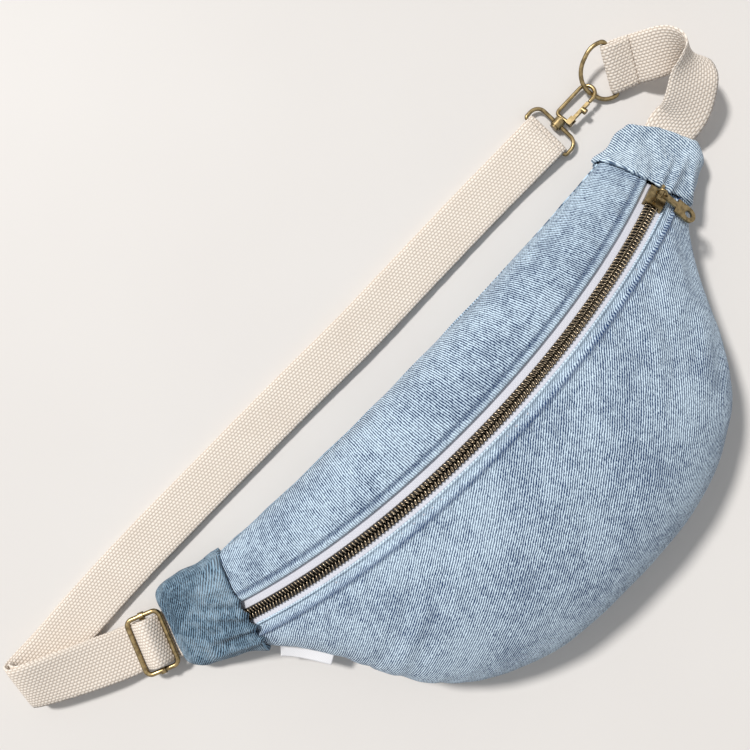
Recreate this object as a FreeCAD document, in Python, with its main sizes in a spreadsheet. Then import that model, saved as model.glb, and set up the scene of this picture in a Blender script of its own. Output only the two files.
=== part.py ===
import FreeCAD, Part
import math
import os

Vector = FreeCAD.Vector
Placement = FreeCAD.Placement
Rotation = FreeCAD.Rotation

doc = FreeCAD.newDocument("WaistPack")

# ---------------------------------------------------------------------------
# Driving dimensions, in millimetres and degrees.  The pack lies on its back:
# X runs along it, Y points to its top edge, Z points up out of the front.
# ---------------------------------------------------------------------------
SIZES = (
    ("top_edge_half", 137.0, "half length of the top edge, at its hidden ends"),
    ("top_edge_place", 74.5, "top edge above the middle of the pack"),
    ("top_edge_rise", 4.5, "how much higher the top edge is at its ends"),
    ("lower_edge_half", 153.0, "half length of the lower edge, at its hidden ends"),
    ("lower_edge_depth", 74.2, "lowest point of the lower edge below the middle"),
    ("lower_edge_end_rise", 35.0, "height of the lower edge's hidden ends"),
    ("seam_height", 22.0, "edge seam above the table, in the middle"),
    ("end_seam_height", 14.5, "edge seam above the table, at the ends"),
    ("end_lift", 3.2, "how far the back panel lifts under the end tabs"),
    ("rest_flat", 0.25, "how deep the table flattens the back panel"),
    ("denim_thickness", 1.2, "one layer of denim"),
    ("lining_thickness", 0.5, "cotton lining"),
    ("ply_gap", 0.15, "air between two plies of cloth"),
    ("lining_gap", 0.45, "gap between the denim and its lining"),
    ("soft_clearance", 0.3, "gap between soft pieces that meet"),
    ("zip_half_chord", 146.0, "half of the straight distance between the tape's ends"),
    ("zip_end_place", 49.0, "height of the tape's ends above the middle of the pack"),
    ("zip_end_height", 20.5, "tape's ends above the table"),
    ("zip_rise", 40.0, "how much the zip bulges upwards"),
    ("zip_sweep", 17.0, "how much the zip bows towards the lower edge"),
    ("zip_tilt", 5.0, "slope of the tape across the zip, degrees"),
    ("tape_width", 8.6, "one tape, from the middle of the zip"),
    ("tape_inner", 1.3, "inner edge of a tape, from the middle of the zip"),
    ("tape_thickness", 0.8, "zip tape"),
    ("coil_width", 3.2, "one half of the chain"),
    ("coil_height", 2.2, "chain above its tape"),
    ("upper_opening", 7.2, "upper panel's edge from the middle of the zip"),
    ("lower_opening", 6.0, "lower panel's edge from the middle of the zip"),
    ("lower_lift", 0.5, "lower panel's edge above the upper panel's"),
    ("slider_place", 31.0, "slider along the zip's arc, degrees from the middle"),
    ("slider_length", 11.0, "slider along the zip"),
    ("slider_width", 9.6, "slider across the zip"),
    ("slider_plate", 1.1, "thickness of the slider's plates"),
    ("slider_gap", 0.3, "slider's running gap round tape and chain"),
    ("post_width", 1.8, "wedge that parts the chain inside the slider"),
    ("bridge_rise", 3.1, "middle of the bridge above the slider"),
    ("bridge_thickness", 1.1, "square section of the bridge"),
    ("bridge_length", 7.6, "bridge along the slider"),
    ("link_radius", 2.4, "middle of the pull's ring"),
    ("link_wire", 0.5, "radius of the ring's wire"),
    ("link_shift", 0.8, "ring's middle beside the bridge"),
    ("pull_length", 20.0, "pull tab, from the ring's wire to its round end"),
    ("pull_width", 8.4, "pull tab at its wide end"),
    ("pull_neck", 3.4, "pull tab at the ring"),
    ("pull_thickness", 1.1, "pull tab"),
    ("pull_hole", 2.0, "radius of the hole in the wide end"),
    ("pull_droop", 13.0, "pull tab's slope down onto the cloth, degrees"),
    ("eye_play", 0.2, "radial play of the ring in the pull tab"),
    ("cover_thickness", 2.2, "folded denim of an end tab"),
    ("cover_clearance", 0.75, "gap between an end tab and the pack inside it"),
    ("left_cover_start", 0.958, "where the left tab's edge crosses the pack, share of its length"),
    ("right_cover_start", 0.984, "where the right tab's edge crosses the pack, share of its length"),
    ("mouth_place", 176.5, "end tab's mouth along X"),
    ("mouth_side", 65.5, "end tab's mouth along Y"),
    ("mouth_height", 10.4, "end tab's mouth above the table"),
    ("left_reach", 2.5, "left tab's end outside the place named for the mouths"),
    ("right_reach", -4.0, "right tab's end outside the place named for the mouths"),
    ("mouth_width", 42.5, "end tab across its full part behind the mouth"),
    ("mouth_thickness", 13.0, "end tab through its full part behind the mouth"),
    ("mouth_round", 12.0, "length over which an end tab rounds down to its mouth"),
    ("lip_width", 30.4, "end tab across its mouth"),
    ("lip_thickness", 7.0, "end tab through its mouth"),
    ("strap_angle", 23.0, "slope of the straps out of the end tabs, degrees"),
    ("webbing_width", 25.0, "cotton webbing"),
    ("webbing_thickness", 1.8, "cotton webbing"),
    ("layer_gap", 0.15, "air between the strap's two layers"),
    ("buckle_reach", 14.5, "buckle's bar from the left mouth"),
    ("buckle_height", 8.6, "buckle's wire above the table"),
    ("buckle_wire", 1.25, "radius of the buckle's wire"),
    ("buckle_side", 8.6, "buckle's long sides from its bar"),
    ("buckle_corner", 3.2, "bend radius of the buckle's corners"),
    ("bar_wire", 1.1, "radius of the buckle's bar"),
    ("curl_wall", 0.6, "wall of the bar's curled ends"),
    ("curl_length", 2.6, "length of the bar's curled ends"),
    ("metal_play", 0.05, "radial running fit of metal on metal"),
    ("ring_slack", 0.6, "room beside the webbing inside a ring"),
    ("ring_wire", 1.1, "radius of the D-ring's wire"),
    ("ring_shoulder", 7.5, "straight shoulders of the D-ring"),
    ("ring_corner", 2.2, "bend radius at the D-ring's bar"),
    ("ring_tilt", 27.0, "D-ring's bar out of level, degrees"),
    ("eye_wire", 1.0, "radius of the hook eye's wire"),
    ("eye_depth", 8.6, "hook eye from its bar to its outer side"),
    ("eye_corner", 5.0, "outer bend radius of the hook eye"),
    ("eye_bar_corner", 1.2, "bend radius at the hook eye's bar"),
    ("collar_radius", 2.9, "swivel collar on the hook eye"),
    ("collar_length", 4.4, "swivel collar"),
    ("shank_radius", 1.3, "hook's shank inside the collar"),
    ("shank_head", 2.2, "radius of the shank's riveted head"),
    ("head_thickness", 0.9, "thickness of the shank's riveted head"),
    ("hook_wire", 1.0, "radius of the hook's bow"),
    ("hook_half_width", 4.5, "middle of the bow from the hook's axis"),
    ("hook_roll", -22.0, "hook turned in its swivel, degrees"),
    ("link_clear", 0.8, "room between the D-ring and the hook's tip"),
    ("gate_width", 1.8, "gate lever across the hook's plane"),
    ("gate_depth", 1.7, "gate lever in the hook's plane"),
    ("knob_radius", 1.5, "thumb knob of the gate"),
    ("knob_rise", 1.7, "thumb knob beside the gate"),
    ("pin_radius", 0.6, "gate's pivot pin"),
    ("tag_reach", 7.0, "blank side tag out of the seam"),
    ("tag_thickness", 0.8, "blank side tag, two plies"),
    ("stop_length", 1.8, "zip stops along the zip"),
    ("stop_plate", 0.9, "plate of the zip stops beside the tape"),
    ("post_place", 2.6, "start of the slider's post from its middle"),
    ("bridge_width", 1.5, "slider's bridge across the zip"),
    ("eye_margin", 0.9, "metal round the pull's eye"),
    ("ring_turn", 21.7, "D-ring turned about the vertical, degrees"),
    ("ring_drop", -0.08, "slope of the D-ring towards its bow"),
    ("ring_place", 176.8, "D-ring's bar from the pack's middle"),
    ("ring_side", 107.1, "D-ring's bar across the pack"),
    ("ring_height", 8.6, "D-ring's bar above the table"),
    ("ring_peak", 21.0, "D-ring's bow, corner point of its arc"),
    ("ring_arc", 13.5, "radius of the D-ring's bow"),
    ("shoulder_corner", 10.0, "radius between the D-ring's sides and bow"),
    ("link_turn", 28.0, "place of the hook on the D-ring's bow, degrees"),
    ("buckle_slack", 0.3, "room beside the webbing in the buckle"),
    ("eye_slack", 0.5, "room beside the webbing in the hook's eye"),
    ("eye_place", 131.0, "hook's eye bar from the pack's middle"),
    ("run_side", 107.2, "long strap's run across the pack"),
    ("eye_height", 2.95, "hook's eye bar above the table"),
    ("hook_nose", 6.2, "hook's nose back from its tip"),
    ("neck_corner", 2.2, "bend between the hook's neck and its side"),
    ("pin_reach", 2.1, "gate's pin from the hook's cross bar"),
    ("ear_width", 2.9, "hook's ear for the gate's pin"),
    ("ear_wall", 0.75, "cheeks of the hook's ear"),
    ("gate_rest", 0.12, "gap between the gate and the hook's nose"),
    ("tag_start", 0.935, "side tag's upper end, share of the lower edge"),
    ("tag_end", 0.80, "side tag's lower end, share of the lower edge"),
    ("tag_drop", 3.0, "side tag's free edge below the seam"),
    ("left_mouth_height", 8.2, "left strap's slot above the table"),
    ("cover_floor", 0.4, "height of the end tabs' underside above the table"),
    ("throat_place", -9.0, "start of the strap's slot from the tab's mouth"),
)

sheet = doc.addObject("Spreadsheet::Sheet", "Sizes")
for row, (alias, value, note) in enumerate(SIZES, start=1):
    sheet.set(f"A{row}", alias)
    sheet.set(f"B{row}", str(value))
    sheet.set(f"C{row}", note)
    sheet.setAlias(f"B{row}", alias)
doc.recompute()


def size(alias):
    """Return one driving dimension as a number."""
    return float(sheet.get(alias))


# Lower edge of the pack from its middle to its hidden end, as shares of its
# half length and, below the ends' height, of its whole depth.
LOWER_EDGE = ((0.0, 1.0), (0.29, 0.972), (0.52, 0.855), (0.705, 0.62), (0.82, 0.31), (0.925, 0.1), (1.0, 0.0))

SECTION_STEPS = 24
UPPER_STEPS = 6
LOWER_STEPS = 9
BACK_STEPS = 12

parts = []


def keep(item, label):
    """Name a finished sub-part and put it on the list of those that are written out."""
    item.Label = label
    parts.append(item)
    return item


def feature(label, shape):
    """Hold a shape made with Part's own functions as a document object."""
    item = doc.addObject("Part::Feature", label)
    item.Shape = shape
    return keep(item, label)


# ---------------------------------------------------------------------------
# The zip's arc: a circle in a tilted plane, so that the slider runs true.
# ---------------------------------------------------------------------------
ZIP_SAGITTA = math.hypot(size("zip_rise"), size("zip_sweep"))
ZIP_RADIUS = (size("zip_half_chord") ** 2 + ZIP_SAGITTA ** 2) / (2 * ZIP_SAGITTA)
ZIP_HALF_ANGLE = math.degrees(math.asin(size("zip_half_chord") / ZIP_RADIUS))
ZIP_LEAN = math.degrees(math.atan2(size("zip_sweep"), size("zip_rise")))
ZIP_BULGE = Vector(0, -size("zip_sweep") / ZIP_SAGITTA, size("zip_rise") / ZIP_SAGITTA)
ZIP_AXIS = Vector(1, 0, 0).cross(ZIP_BULGE)
ZIP_CENTRE = Vector(0, size("zip_end_place"), size("zip_end_height")) - ZIP_BULGE * (ZIP_RADIUS - ZIP_SAGITTA)
TAPE_CONE = ZIP_LEAN + size("zip_tilt")

# Local axes of the arc: x along the bulge, z along the arc's axis.
ZIP_PLACEMENT = Placement(ZIP_CENTRE, Rotation(ZIP_BULGE, Vector(-1, 0, 0), ZIP_AXIS, "ZXY"))


def zip_frame(angle):
    """Frame on the zip's middle line: x along it, y to the top edge, z outwards."""
    turn = Rotation(ZIP_AXIS, -angle)
    along = turn.multVec(Vector(1, 0, 0))
    bulge = turn.multVec(ZIP_BULGE)
    cone = math.radians(TAPE_CONE)
    down = ZIP_AXIS * math.cos(cone) + bulge * math.sin(cone)
    out = along.cross(down * -1)
    return Placement(ZIP_CENTRE + bulge * ZIP_RADIUS, Rotation(along, down * -1, out, "ZXY"))


# ---------------------------------------------------------------------------
# The pack's skin: sections from the top edge over the zip to the lower edge.
# ---------------------------------------------------------------------------
def lower_edge_curve():
    """Curve of the lower edge, seen from above, from the left end to the right."""
    depth = size("lower_edge_depth") + size("lower_edge_end_rise")
    right = []
    for share, drop in LOWER_EDGE:
        right.append(Vector(size("lower_edge_half") * share, size("lower_edge_end_rise") - depth * drop, 0))
    left = [Vector(-point.x, point.y, 0) for point in reversed(right[1:])]
    curve = Part.BSplineCurve()
    curve.interpolate(left + right)
    return curve


LOWER_CURVE = lower_edge_curve()


def bezier(points, place):
    """Point of a cubic curve at a place from 0 to 1."""
    rest = 1 - place
    weights = (rest ** 3, 3 * rest ** 2 * place, 3 * rest * place ** 2, place ** 3)
    total = Vector(0, 0, 0)
    for weight, point in zip(weights, points):
        total = total + point * weight
    return total


def smooth(value):
    """Ease from 0 to 1."""
    value = min(max(value, 0.0), 1.0)
    return value * value * (3 - 2 * value)


def seam_height(share):
    """Height of the edge seam, lower towards the pack's ends."""
    return size("seam_height") + (size("end_seam_height") - size("seam_height")) * abs(share) ** 3


def top_edge(share):
    """Point of the top edge's seam."""
    place = size("top_edge_place") + size("top_edge_rise") * share ** 2
    return Vector(size("top_edge_half") * share, place, seam_height(share))


def lower_edge(share):
    """Point of the lower edge's seam."""
    first = LOWER_CURVE.FirstParameter
    last = LOWER_CURVE.LastParameter
    point = LOWER_CURVE.value(first + (last - first) * (share + 1) / 2)
    return Vector(point.x, point.y, seam_height(share))


EDGE_LIFT = size("tape_thickness") / 2 + size("ply_gap") + size("denim_thickness") + size("ply_gap")
UPPER_FULLNESS = 0.62
LOWER_FULLNESS = 0.60
SEAM_FULLNESS = 0.72
BACK_FULLNESS = 0.7
BACK_CORNER = 0.3


def upper_point(share, place):
    """Upper front panel's outer face, from the top edge (0) to the zip (1)."""
    frame = zip_frame(share * ZIP_HALF_ANGLE)
    edge = frame.multVec(Vector(0, size("upper_opening"), EDGE_LIFT))
    across = frame.Rotation.multVec(Vector(0, 1, 0))
    top = top_edge(share) + Vector(0, 0, size("soft_clearance") / 2)
    span = math.hypot(edge.y - top.y, edge.x - top.x)
    rise = edge.z - top.z
    handles = (top, top + Vector(0, 0, rise * SEAM_FULLNESS), edge + across * span * UPPER_FULLNESS, edge)
    return bezier(handles, place)


def lower_point(share, place):
    """Lower front panel's outer face, from the zip (0) to the lower edge (1)."""
    frame = zip_frame(share * ZIP_HALF_ANGLE)
    edge = frame.multVec(Vector(0, -size("lower_opening"), EDGE_LIFT + size("lower_lift")))
    across = frame.Rotation.multVec(Vector(0, -1, 0))
    low = lower_edge(share) + Vector(0, 0, size("soft_clearance") / 2)
    span = math.hypot(edge.y - low.y, edge.x - low.x)
    rise = edge.z - low.z
    handles = (edge, edge + across * span * LOWER_FULLNESS, low + Vector(0, 0, rise * SEAM_FULLNESS), low)
    return bezier(handles, place)


def back_point(share, place):
    """Back panel's outer face, from the lower edge (0) to the top edge (1)."""
    low = lower_edge(share) - Vector(0, 0, size("soft_clearance") / 2)
    top = top_edge(share) - Vector(0, 0, size("soft_clearance") / 2)
    floor = (size("end_lift") + size("rest_flat")) * smooth((abs(share) - 0.78) / 0.17) - size("rest_flat")
    low_corner = low + (top - low) * BACK_CORNER
    top_corner = top + (low - top) * BACK_CORNER
    low_corner.z = floor
    top_corner.z = floor
    drop = Vector(0, 0, (low.z - floor) * BACK_FULLNESS)
    if place < BACK_CORNER:
        handles = (low, low - drop, low_corner + (low - low_corner) * BACK_FULLNESS, low_corner)
        handles[2].z = floor
        return bezier(handles, place / BACK_CORNER)
    if place > 1 - BACK_CORNER:
        handles = (top, top - drop, top_corner + (top - top_corner) * BACK_FULLNESS, top_corner)
        handles[2].z = floor
        return bezier(handles, (1 - place) / BACK_CORNER)
    flat = (place - BACK_CORNER) / (1 - 2 * BACK_CORNER)
    return low_corner + (top_corner - low_corner) * flat


def skin_point(surface, share, place, depth):
    """Point a given depth inside one of the three faces above."""
    step = 0.002
    before = max(share - step, -1.0)
    after = min(share + step, 1.0)
    near = max(place - step, 0.0)
    far = min(place + step, 1.0)
    along = surface(after, place) - surface(before, place)
    across = surface(share, far) - surface(share, near)
    normal = along.cross(across)
    normal.normalize()
    return surface(share, place) + normal * depth


def sheet_solid(surface, start, end, steps, outer_depth, inner_depth, reach=1.0):
    """Closed solid between two depths below a face, from place start to place end."""
    grids = []
    for depth in (outer_depth, inner_depth):
        grid = []
        for column in range(SECTION_STEPS + 1):
            share = reach * (2 * column / SECTION_STEPS - 1)
            line = []
            for row in range(steps + 1):
                place = start + (end - start) * row / steps
                line.append(skin_point(surface, share, place, depth))
            grid.append(line)
        grids.append(grid)
    faces = []
    skins = []
    for grid in grids:
        skin = Part.BSplineSurface()
        skin.interpolate(grid)
        skins.append(skin)
        faces.append(skin.toShape())
    outer, inner = skins
    first_u, last_u, first_v, last_v = outer.bounds()
    inner_u0, inner_u1, inner_v0, inner_v1 = inner.bounds()
    for u_outer, u_inner in ((first_u, inner_u0), (last_u, inner_u1)):
        faces.append(Part.makeRuledSurface(outer.uIso(u_outer).toShape(), inner.uIso(u_inner).toShape()))
    for v_outer, v_inner in ((first_v, inner_v0), (last_v, inner_v1)):
        faces.append(Part.makeRuledSurface(outer.vIso(v_outer).toShape(), inner.vIso(v_inner).toShape()))
    shell = Part.makeShell(faces)
    shell.sewShape()
    solid = Part.makeSolid(shell)
    if solid.Volume < 0:
        solid.reverse()
    return solid


def make_panels():
    """Outer denim panels; the back panel is flattened where it rests."""
    thick = size("denim_thickness")
    feature("front_upper_panel", sheet_solid(upper_point, 0, 1, UPPER_STEPS, 0, thick))
    feature("front_lower_panel", sheet_solid(lower_point, 0, 1, LOWER_STEPS, 0, thick))
    back = sheet_solid(back_point, 0, 1, BACK_STEPS, 0, thick)
    reach = 2 * size("lower_edge_half")
    table = Part.makeBox(2 * reach, 2 * reach, 10, Vector(-reach, -reach, -10))
    feature("back_panel", back.cut(table).Solids[0])


def make_lining():
    """Lining behind the panels; beside the zip it starts at the tape's edge."""
    outer = size("denim_thickness") + size("lining_gap")
    inner = outer + size("lining_thickness")
    reach = 0.86
    feature("lining_upper", sheet_solid(upper_point, 0.04, 0.82, UPPER_STEPS, outer, inner, reach))
    feature("lining_lower", sheet_solid(lower_point, 0.16, 0.97, LOWER_STEPS, outer, inner, reach))
    feature("lining_back", sheet_solid(back_point, 0.04, 0.96, BACK_STEPS, outer, inner, reach))


# ---------------------------------------------------------------------------
# End tabs: folded denim sleeves from the pack's ends to the straps' mouths.
# ---------------------------------------------------------------------------
STRAP_ANGLE = math.radians(size("strap_angle"))
LOOP_POINTS = 44


def strap_axes(side):
    """Mouth of a tab: its middle, the strap's heading out of it and its width direction."""
    out = Vector(side * math.cos(STRAP_ANGLE), math.sin(STRAP_ANGLE), 0)
    across = Vector(-side * math.sin(STRAP_ANGLE), math.cos(STRAP_ANGLE), 0)
    height = size("mouth_height") if side > 0 else size("left_mouth_height")
    base = Vector(side * size("mouth_place"), size("mouth_side"), height)
    return base, out, across


def even_loop(corners):
    """Closed loop of points at even steps round a closed run of corners."""
    closed = corners + [corners[0]]
    lengths = [0.0]
    for first, second in zip(closed, closed[1:]):
        lengths.append(lengths[-1] + (second - first).Length)
    loop = []
    index = 0
    for step in range(LOOP_POINTS):
        reach = lengths[-1] * step / LOOP_POINTS
        while lengths[index + 1] < reach:
            index += 1
        share = (reach - lengths[index]) / (lengths[index + 1] - lengths[index])
        loop.append(closed[index] + (closed[index + 1] - closed[index]) * share)
    return loop


def pack_loop(share, depth):
    """Closed loop round the pack at one section, a given depth outside its skin."""
    corners = []
    for row in range(7):
        corners.append(skin_point(upper_point, share, row / 6, -depth))
    frame = zip_frame(share * ZIP_HALF_ANGLE)
    chain_top = size("tape_thickness") / 2 + size("coil_height") + depth
    corners.append(frame.multVec(Vector(0, 0, max(chain_top, EDGE_LIFT + depth))))
    for row in range(7):
        corners.append(skin_point(lower_point, share, row / 6, -depth))
    for row in range(1, 9):
        corners.append(skin_point(back_point, share, row / 9, -depth))
    floor = size("cover_floor") + size("cover_clearance") + size("cover_thickness") - depth
    return even_loop([Vector(point.x, point.y, max(point.z, floor)) for point in corners])


def mouth_loop(side, width, thickness, reach):
    """Flat loop with round ends across the strap, at a distance outside the mouth."""
    base, out, across = strap_axes(side)
    reach += size("left_reach") if side < 0 else size("right_reach")
    radius = thickness / 2
    corners = []
    for turn in range(-8, 9):
        angle = math.radians(turn * 90 / 8)
        flat = width / 2 - radius + radius * math.cos(angle)
        corners.append(base + out * reach + across * flat + Vector(0, 0, radius * math.sin(angle)))
    for turn in range(8, -9, -1):
        angle = math.radians(turn * 90 / 8)
        flat = radius - width / 2 - radius * math.cos(angle)
        corners.append(base + out * reach + across * flat + Vector(0, 0, radius * math.sin(angle)))
    return even_loop(corners[8:] + corners[:8])


def blend_loops(first, second, share):
    """Loop between two others."""
    return [near * (1 - share) + far * share for near, far in zip(first, second)]


def sleeve_solid(outer_loops, inner_loops):
    """Closed solid between two tubes of loops, with ring faces at both ends."""
    faces = []
    skins = []
    for loops in (outer_loops, inner_loops):
        skin = Part.BSplineSurface()
        skin.interpolate([loop + [loop[0]] for loop in loops])
        skins.append(skin)
        faces.append(skin.toShape())
    for end in (0, 1):
        rings = [skin.uIso(skin.bounds()[end]).toShape() for skin in skins]
        faces.append(Part.makeRuledSurface(rings[0], rings[1]))
    shell = Part.makeShell(faces)
    shell.sewShape()
    solid = Part.makeSolid(shell)
    if solid.Volume < 0:
        solid.reverse()
    return solid


def make_end_tab(side, label):
    """One end tab: a sleeve over the pack's end that narrows to the strap's slot."""
    start = -size("left_cover_start") if side < 0 else size("right_cover_start")
    clear = size("cover_clearance")
    wall = size("cover_thickness")
    outer_end = pack_loop(side, clear + wall)
    shoulder = mouth_loop(side, size("mouth_width"), size("mouth_thickness"), -size("mouth_round"))
    lip = mouth_loop(side, size("lip_width"), size("lip_thickness"), 0)
    round_width = size("lip_width") + 0.66 * (size("mouth_width") - size("lip_width"))
    round_thick = size("lip_thickness") + 0.72 * (size("mouth_thickness") - size("lip_thickness"))
    rounding = mouth_loop(side, round_width, round_thick, -0.32 * size("mouth_round"))
    outer = [pack_loop(start, clear + wall), pack_loop((start + side) / 2, clear + wall), outer_end]
    outer += [blend_loops(outer_end, shoulder, share) for share in (0.35, 0.7, 1.0)]
    outer += [rounding, lip]
    slot_width = size("webbing_width") + 3 * clear
    slot_thick = size("webbing_thickness") + 2 * clear
    inner_end = pack_loop(side, clear)
    throat = mouth_loop(side, slot_width, slot_thick, size("throat_place"))
    inner = [pack_loop(start, clear), pack_loop((start + side) / 2, clear), inner_end]
    inner += [blend_loops(inner_end, throat, share) for share in (0.5, 1.0)]
    inner += [mouth_loop(side, slot_width, slot_thick, 0)]
    feature(label, sleeve_solid(outer, inner))


# ---------------------------------------------------------------------------
# Bound primitives: every cross-section size is an expression on the sheet.
# ---------------------------------------------------------------------------
def bound(kind, placement, **expressions):
    """Primitive whose sizes are expressions."""
    item = doc.addObject(kind, "Element")
    for name, text in expressions.items():
        item.setExpression(name, text)
    item.Placement = placement
    return item


def rod(start, end, radius):
    """Round rod between two points."""
    item = bound("Part::Cylinder", Placement(start, Rotation(Vector(0, 0, 1), end - start)), Radius=radius)
    item.Height = (end - start).Length
    return item


def ball(centre, radius):
    """Round end of a rod."""
    return bound("Part::Sphere", Placement(centre, Rotation()), Radius=radius)


def block(middle, length, width, height):
    """Box about its middle, along the local axes."""
    item = bound("Part::Box", Placement(), Length=length, Width=width, Height=height)
    doc.recompute()
    half = Vector(item.Length.Value, item.Width.Value, item.Height.Value) * 0.5
    item.Placement = Placement(middle - half, Rotation())
    return item


def bend(centre, start, axis, sweep, radius, wire):
    """Part of a ring, from a start direction about an axis."""
    side = axis.cross(start)
    turn = Rotation(start, side, axis, "ZXY")
    item = bound("Part::Torus", Placement(centre, turn), Radius1=radius, Radius2=wire)
    item.Angle3 = sweep
    return item


def bent_wire(points, radii, wire, closed=True):
    """Rods and ring parts of a wire bent at each point with the radius named for it."""
    count = len(points)
    corners = range(count) if closed else range(1, count - 1)
    leave = {}
    reach = {}
    pieces = []
    for index in corners:
        before = points[index - 1] - points[index]
        after = points[(index + 1) % count] - points[index]
        before.normalize()
        after.normalize()
        half = before.getAngle(after) / 2
        radius = radii[index]
        value = size(radius.split(".")[1]) if isinstance(radius, str) else radius
        reach[index] = value / math.tan(half)
        middle = before + after
        middle.normalize()
        centre = points[index] + middle * (value / math.sin(half))
        start = points[index] + before * reach[index] - centre
        start.normalize()
        axis = before.cross(after) * -1
        axis.normalize()
        sweep = 180 - math.degrees(2 * half)
        text = radius if isinstance(radius, str) else f"{radius} mm"
        pieces.append(bend(centre, start, axis, sweep, text, wire))
        leave[index] = points[index] + after * reach[index]
    last = count if closed else count - 1
    for index in range(last):
        follow = (index + 1) % count
        direction = points[follow] - points[index]
        direction.normalize()
        start = leave.get(index, points[index])
        end = points[follow] - direction * reach.get(follow, 0.0)
        if (end - start).dot(direction) > 0.01:
            pieces.append(rod(start, end, wire))
    return pieces


def fuse(items):
    """Union of several elements."""
    item = doc.addObject("Part::MultiFuse", "Union")
    item.Shapes = items
    return item


def cut(base, tool):
    """One element less another."""
    item = doc.addObject("Part::Cut", "Difference")
    item.Base = base
    item.Tool = tool
    return item


def settle(item, label, placement):
    """Finished hardware sub-part, moved from its local frame to its place."""
    item.Placement = placement
    return keep(item, label)


# ---------------------------------------------------------------------------
# Zip: tapes, coils, stops and the slider with its pull.
# ---------------------------------------------------------------------------
CONE = math.radians(TAPE_CONE)
COIL_LIFT = size("tape_thickness") / 2 + 0.05
CHAIN_TOP = COIL_LIFT + size("coil_height")


def arc_section(along_width, height_above, width, height, start, sweep, label):
    """Solid of revolution about the zip's arc, from a rectangle of the chain's section."""
    down = Vector(math.sin(CONE), 0, math.cos(CONE))
    out = Vector(math.cos(CONE), 0, -math.sin(CONE))
    corner = Vector(ZIP_RADIUS, 0, 0) + down * along_width + out * height_above
    turn = Placement(Vector(0, 0, 0), Rotation(Vector(0, 0, 1), start))
    section = Placement(corner, Rotation(down, out, Vector(0, 1, 0), "ZXY"))
    face = bound("Part::Plane", turn.multiply(section), Length=width, Width=height)
    item = doc.addObject("Part::Revolution", "Arc")
    item.Source = face
    item.Axis = Vector(0, 0, 1)
    item.Angle = sweep
    item.Solid = True
    return settle(item, label, ZIP_PLACEMENT)


def arc_angle(length):
    """Angle of the zip's arc that a length along it takes."""
    return math.degrees(length / ZIP_RADIUS)


SLIDER_END = arc_angle(size("slider_length") / 2)
CHAIN_START = size("slider_place") + SLIDER_END
CHAIN_END = size("slider_place") + arc_angle(size("post_place") - 0.3)


def make_zip():
    """Both tapes with their coils and the stops at the ends."""
    whole = 2 * ZIP_HALF_ANGLE - 0.6
    start = 0.3 - ZIP_HALF_ANGLE
    half = size("tape_thickness") / 2
    wide = "Sizes.tape_width - Sizes.tape_inner"
    thick = "Sizes.tape_thickness"
    arc_section(-size("tape_width"), -half, wide, thick, start, whole, "zip_tape_upper")
    arc_section(size("tape_inner"), -half, wide, thick, start, whole, "zip_tape_lower")
    chain = CHAIN_END + CHAIN_START
    coil = "Sizes.coil_width - 0.05"
    high = "Sizes.coil_height"
    arc_section(-size("coil_width"), COIL_LIFT, coil, high, -CHAIN_END, chain, "coil_upper")
    arc_section(0.05, COIL_LIFT, coil, high, -CHAIN_END, chain, "coil_lower")


def clamp(side, length):
    """Stop on one tape's inner edge: a bent plate round the tape."""
    width = size("coil_width")
    middle = Vector(0, side * (width + 0.3) / 2, 0)
    plate = block(middle, length, "Sizes.coil_width - 0.3", "Sizes.tape_thickness + 2 * Sizes.stop_plate")
    slot_middle = Vector(0, side * (size("tape_inner") - 0.05 + 5), 0)
    slot = block(slot_middle, f"{length} + 2", "10", "Sizes.tape_thickness + 0.1")
    return cut(plate, slot)


def make_stops():
    """Top stops beyond the slider and one bottom stop at the closed end."""
    tops = fuse([clamp(1, "Sizes.stop_length"), clamp(-1, "Sizes.stop_length")])
    place = CHAIN_START + arc_angle(0.6 + size("stop_length") / 2)
    settle(tops, "top_stops", zip_frame(place))
    plate = "Sizes.tape_thickness + 2 * Sizes.stop_plate"
    bottom = block(Vector(0, 0, 0), "Sizes.stop_length", "2 * Sizes.coil_width", plate)
    slots = []
    for side in (1, -1):
        slot_middle = Vector(0, side * (size("tape_inner") - 0.05 + 5), 0)
        slots.append(block(slot_middle, "Sizes.stop_length + 2", "10", "Sizes.tape_thickness + 0.1"))
    settle(cut(bottom, fuse(slots)), "bottom_stop", zip_frame(-place))


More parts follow.
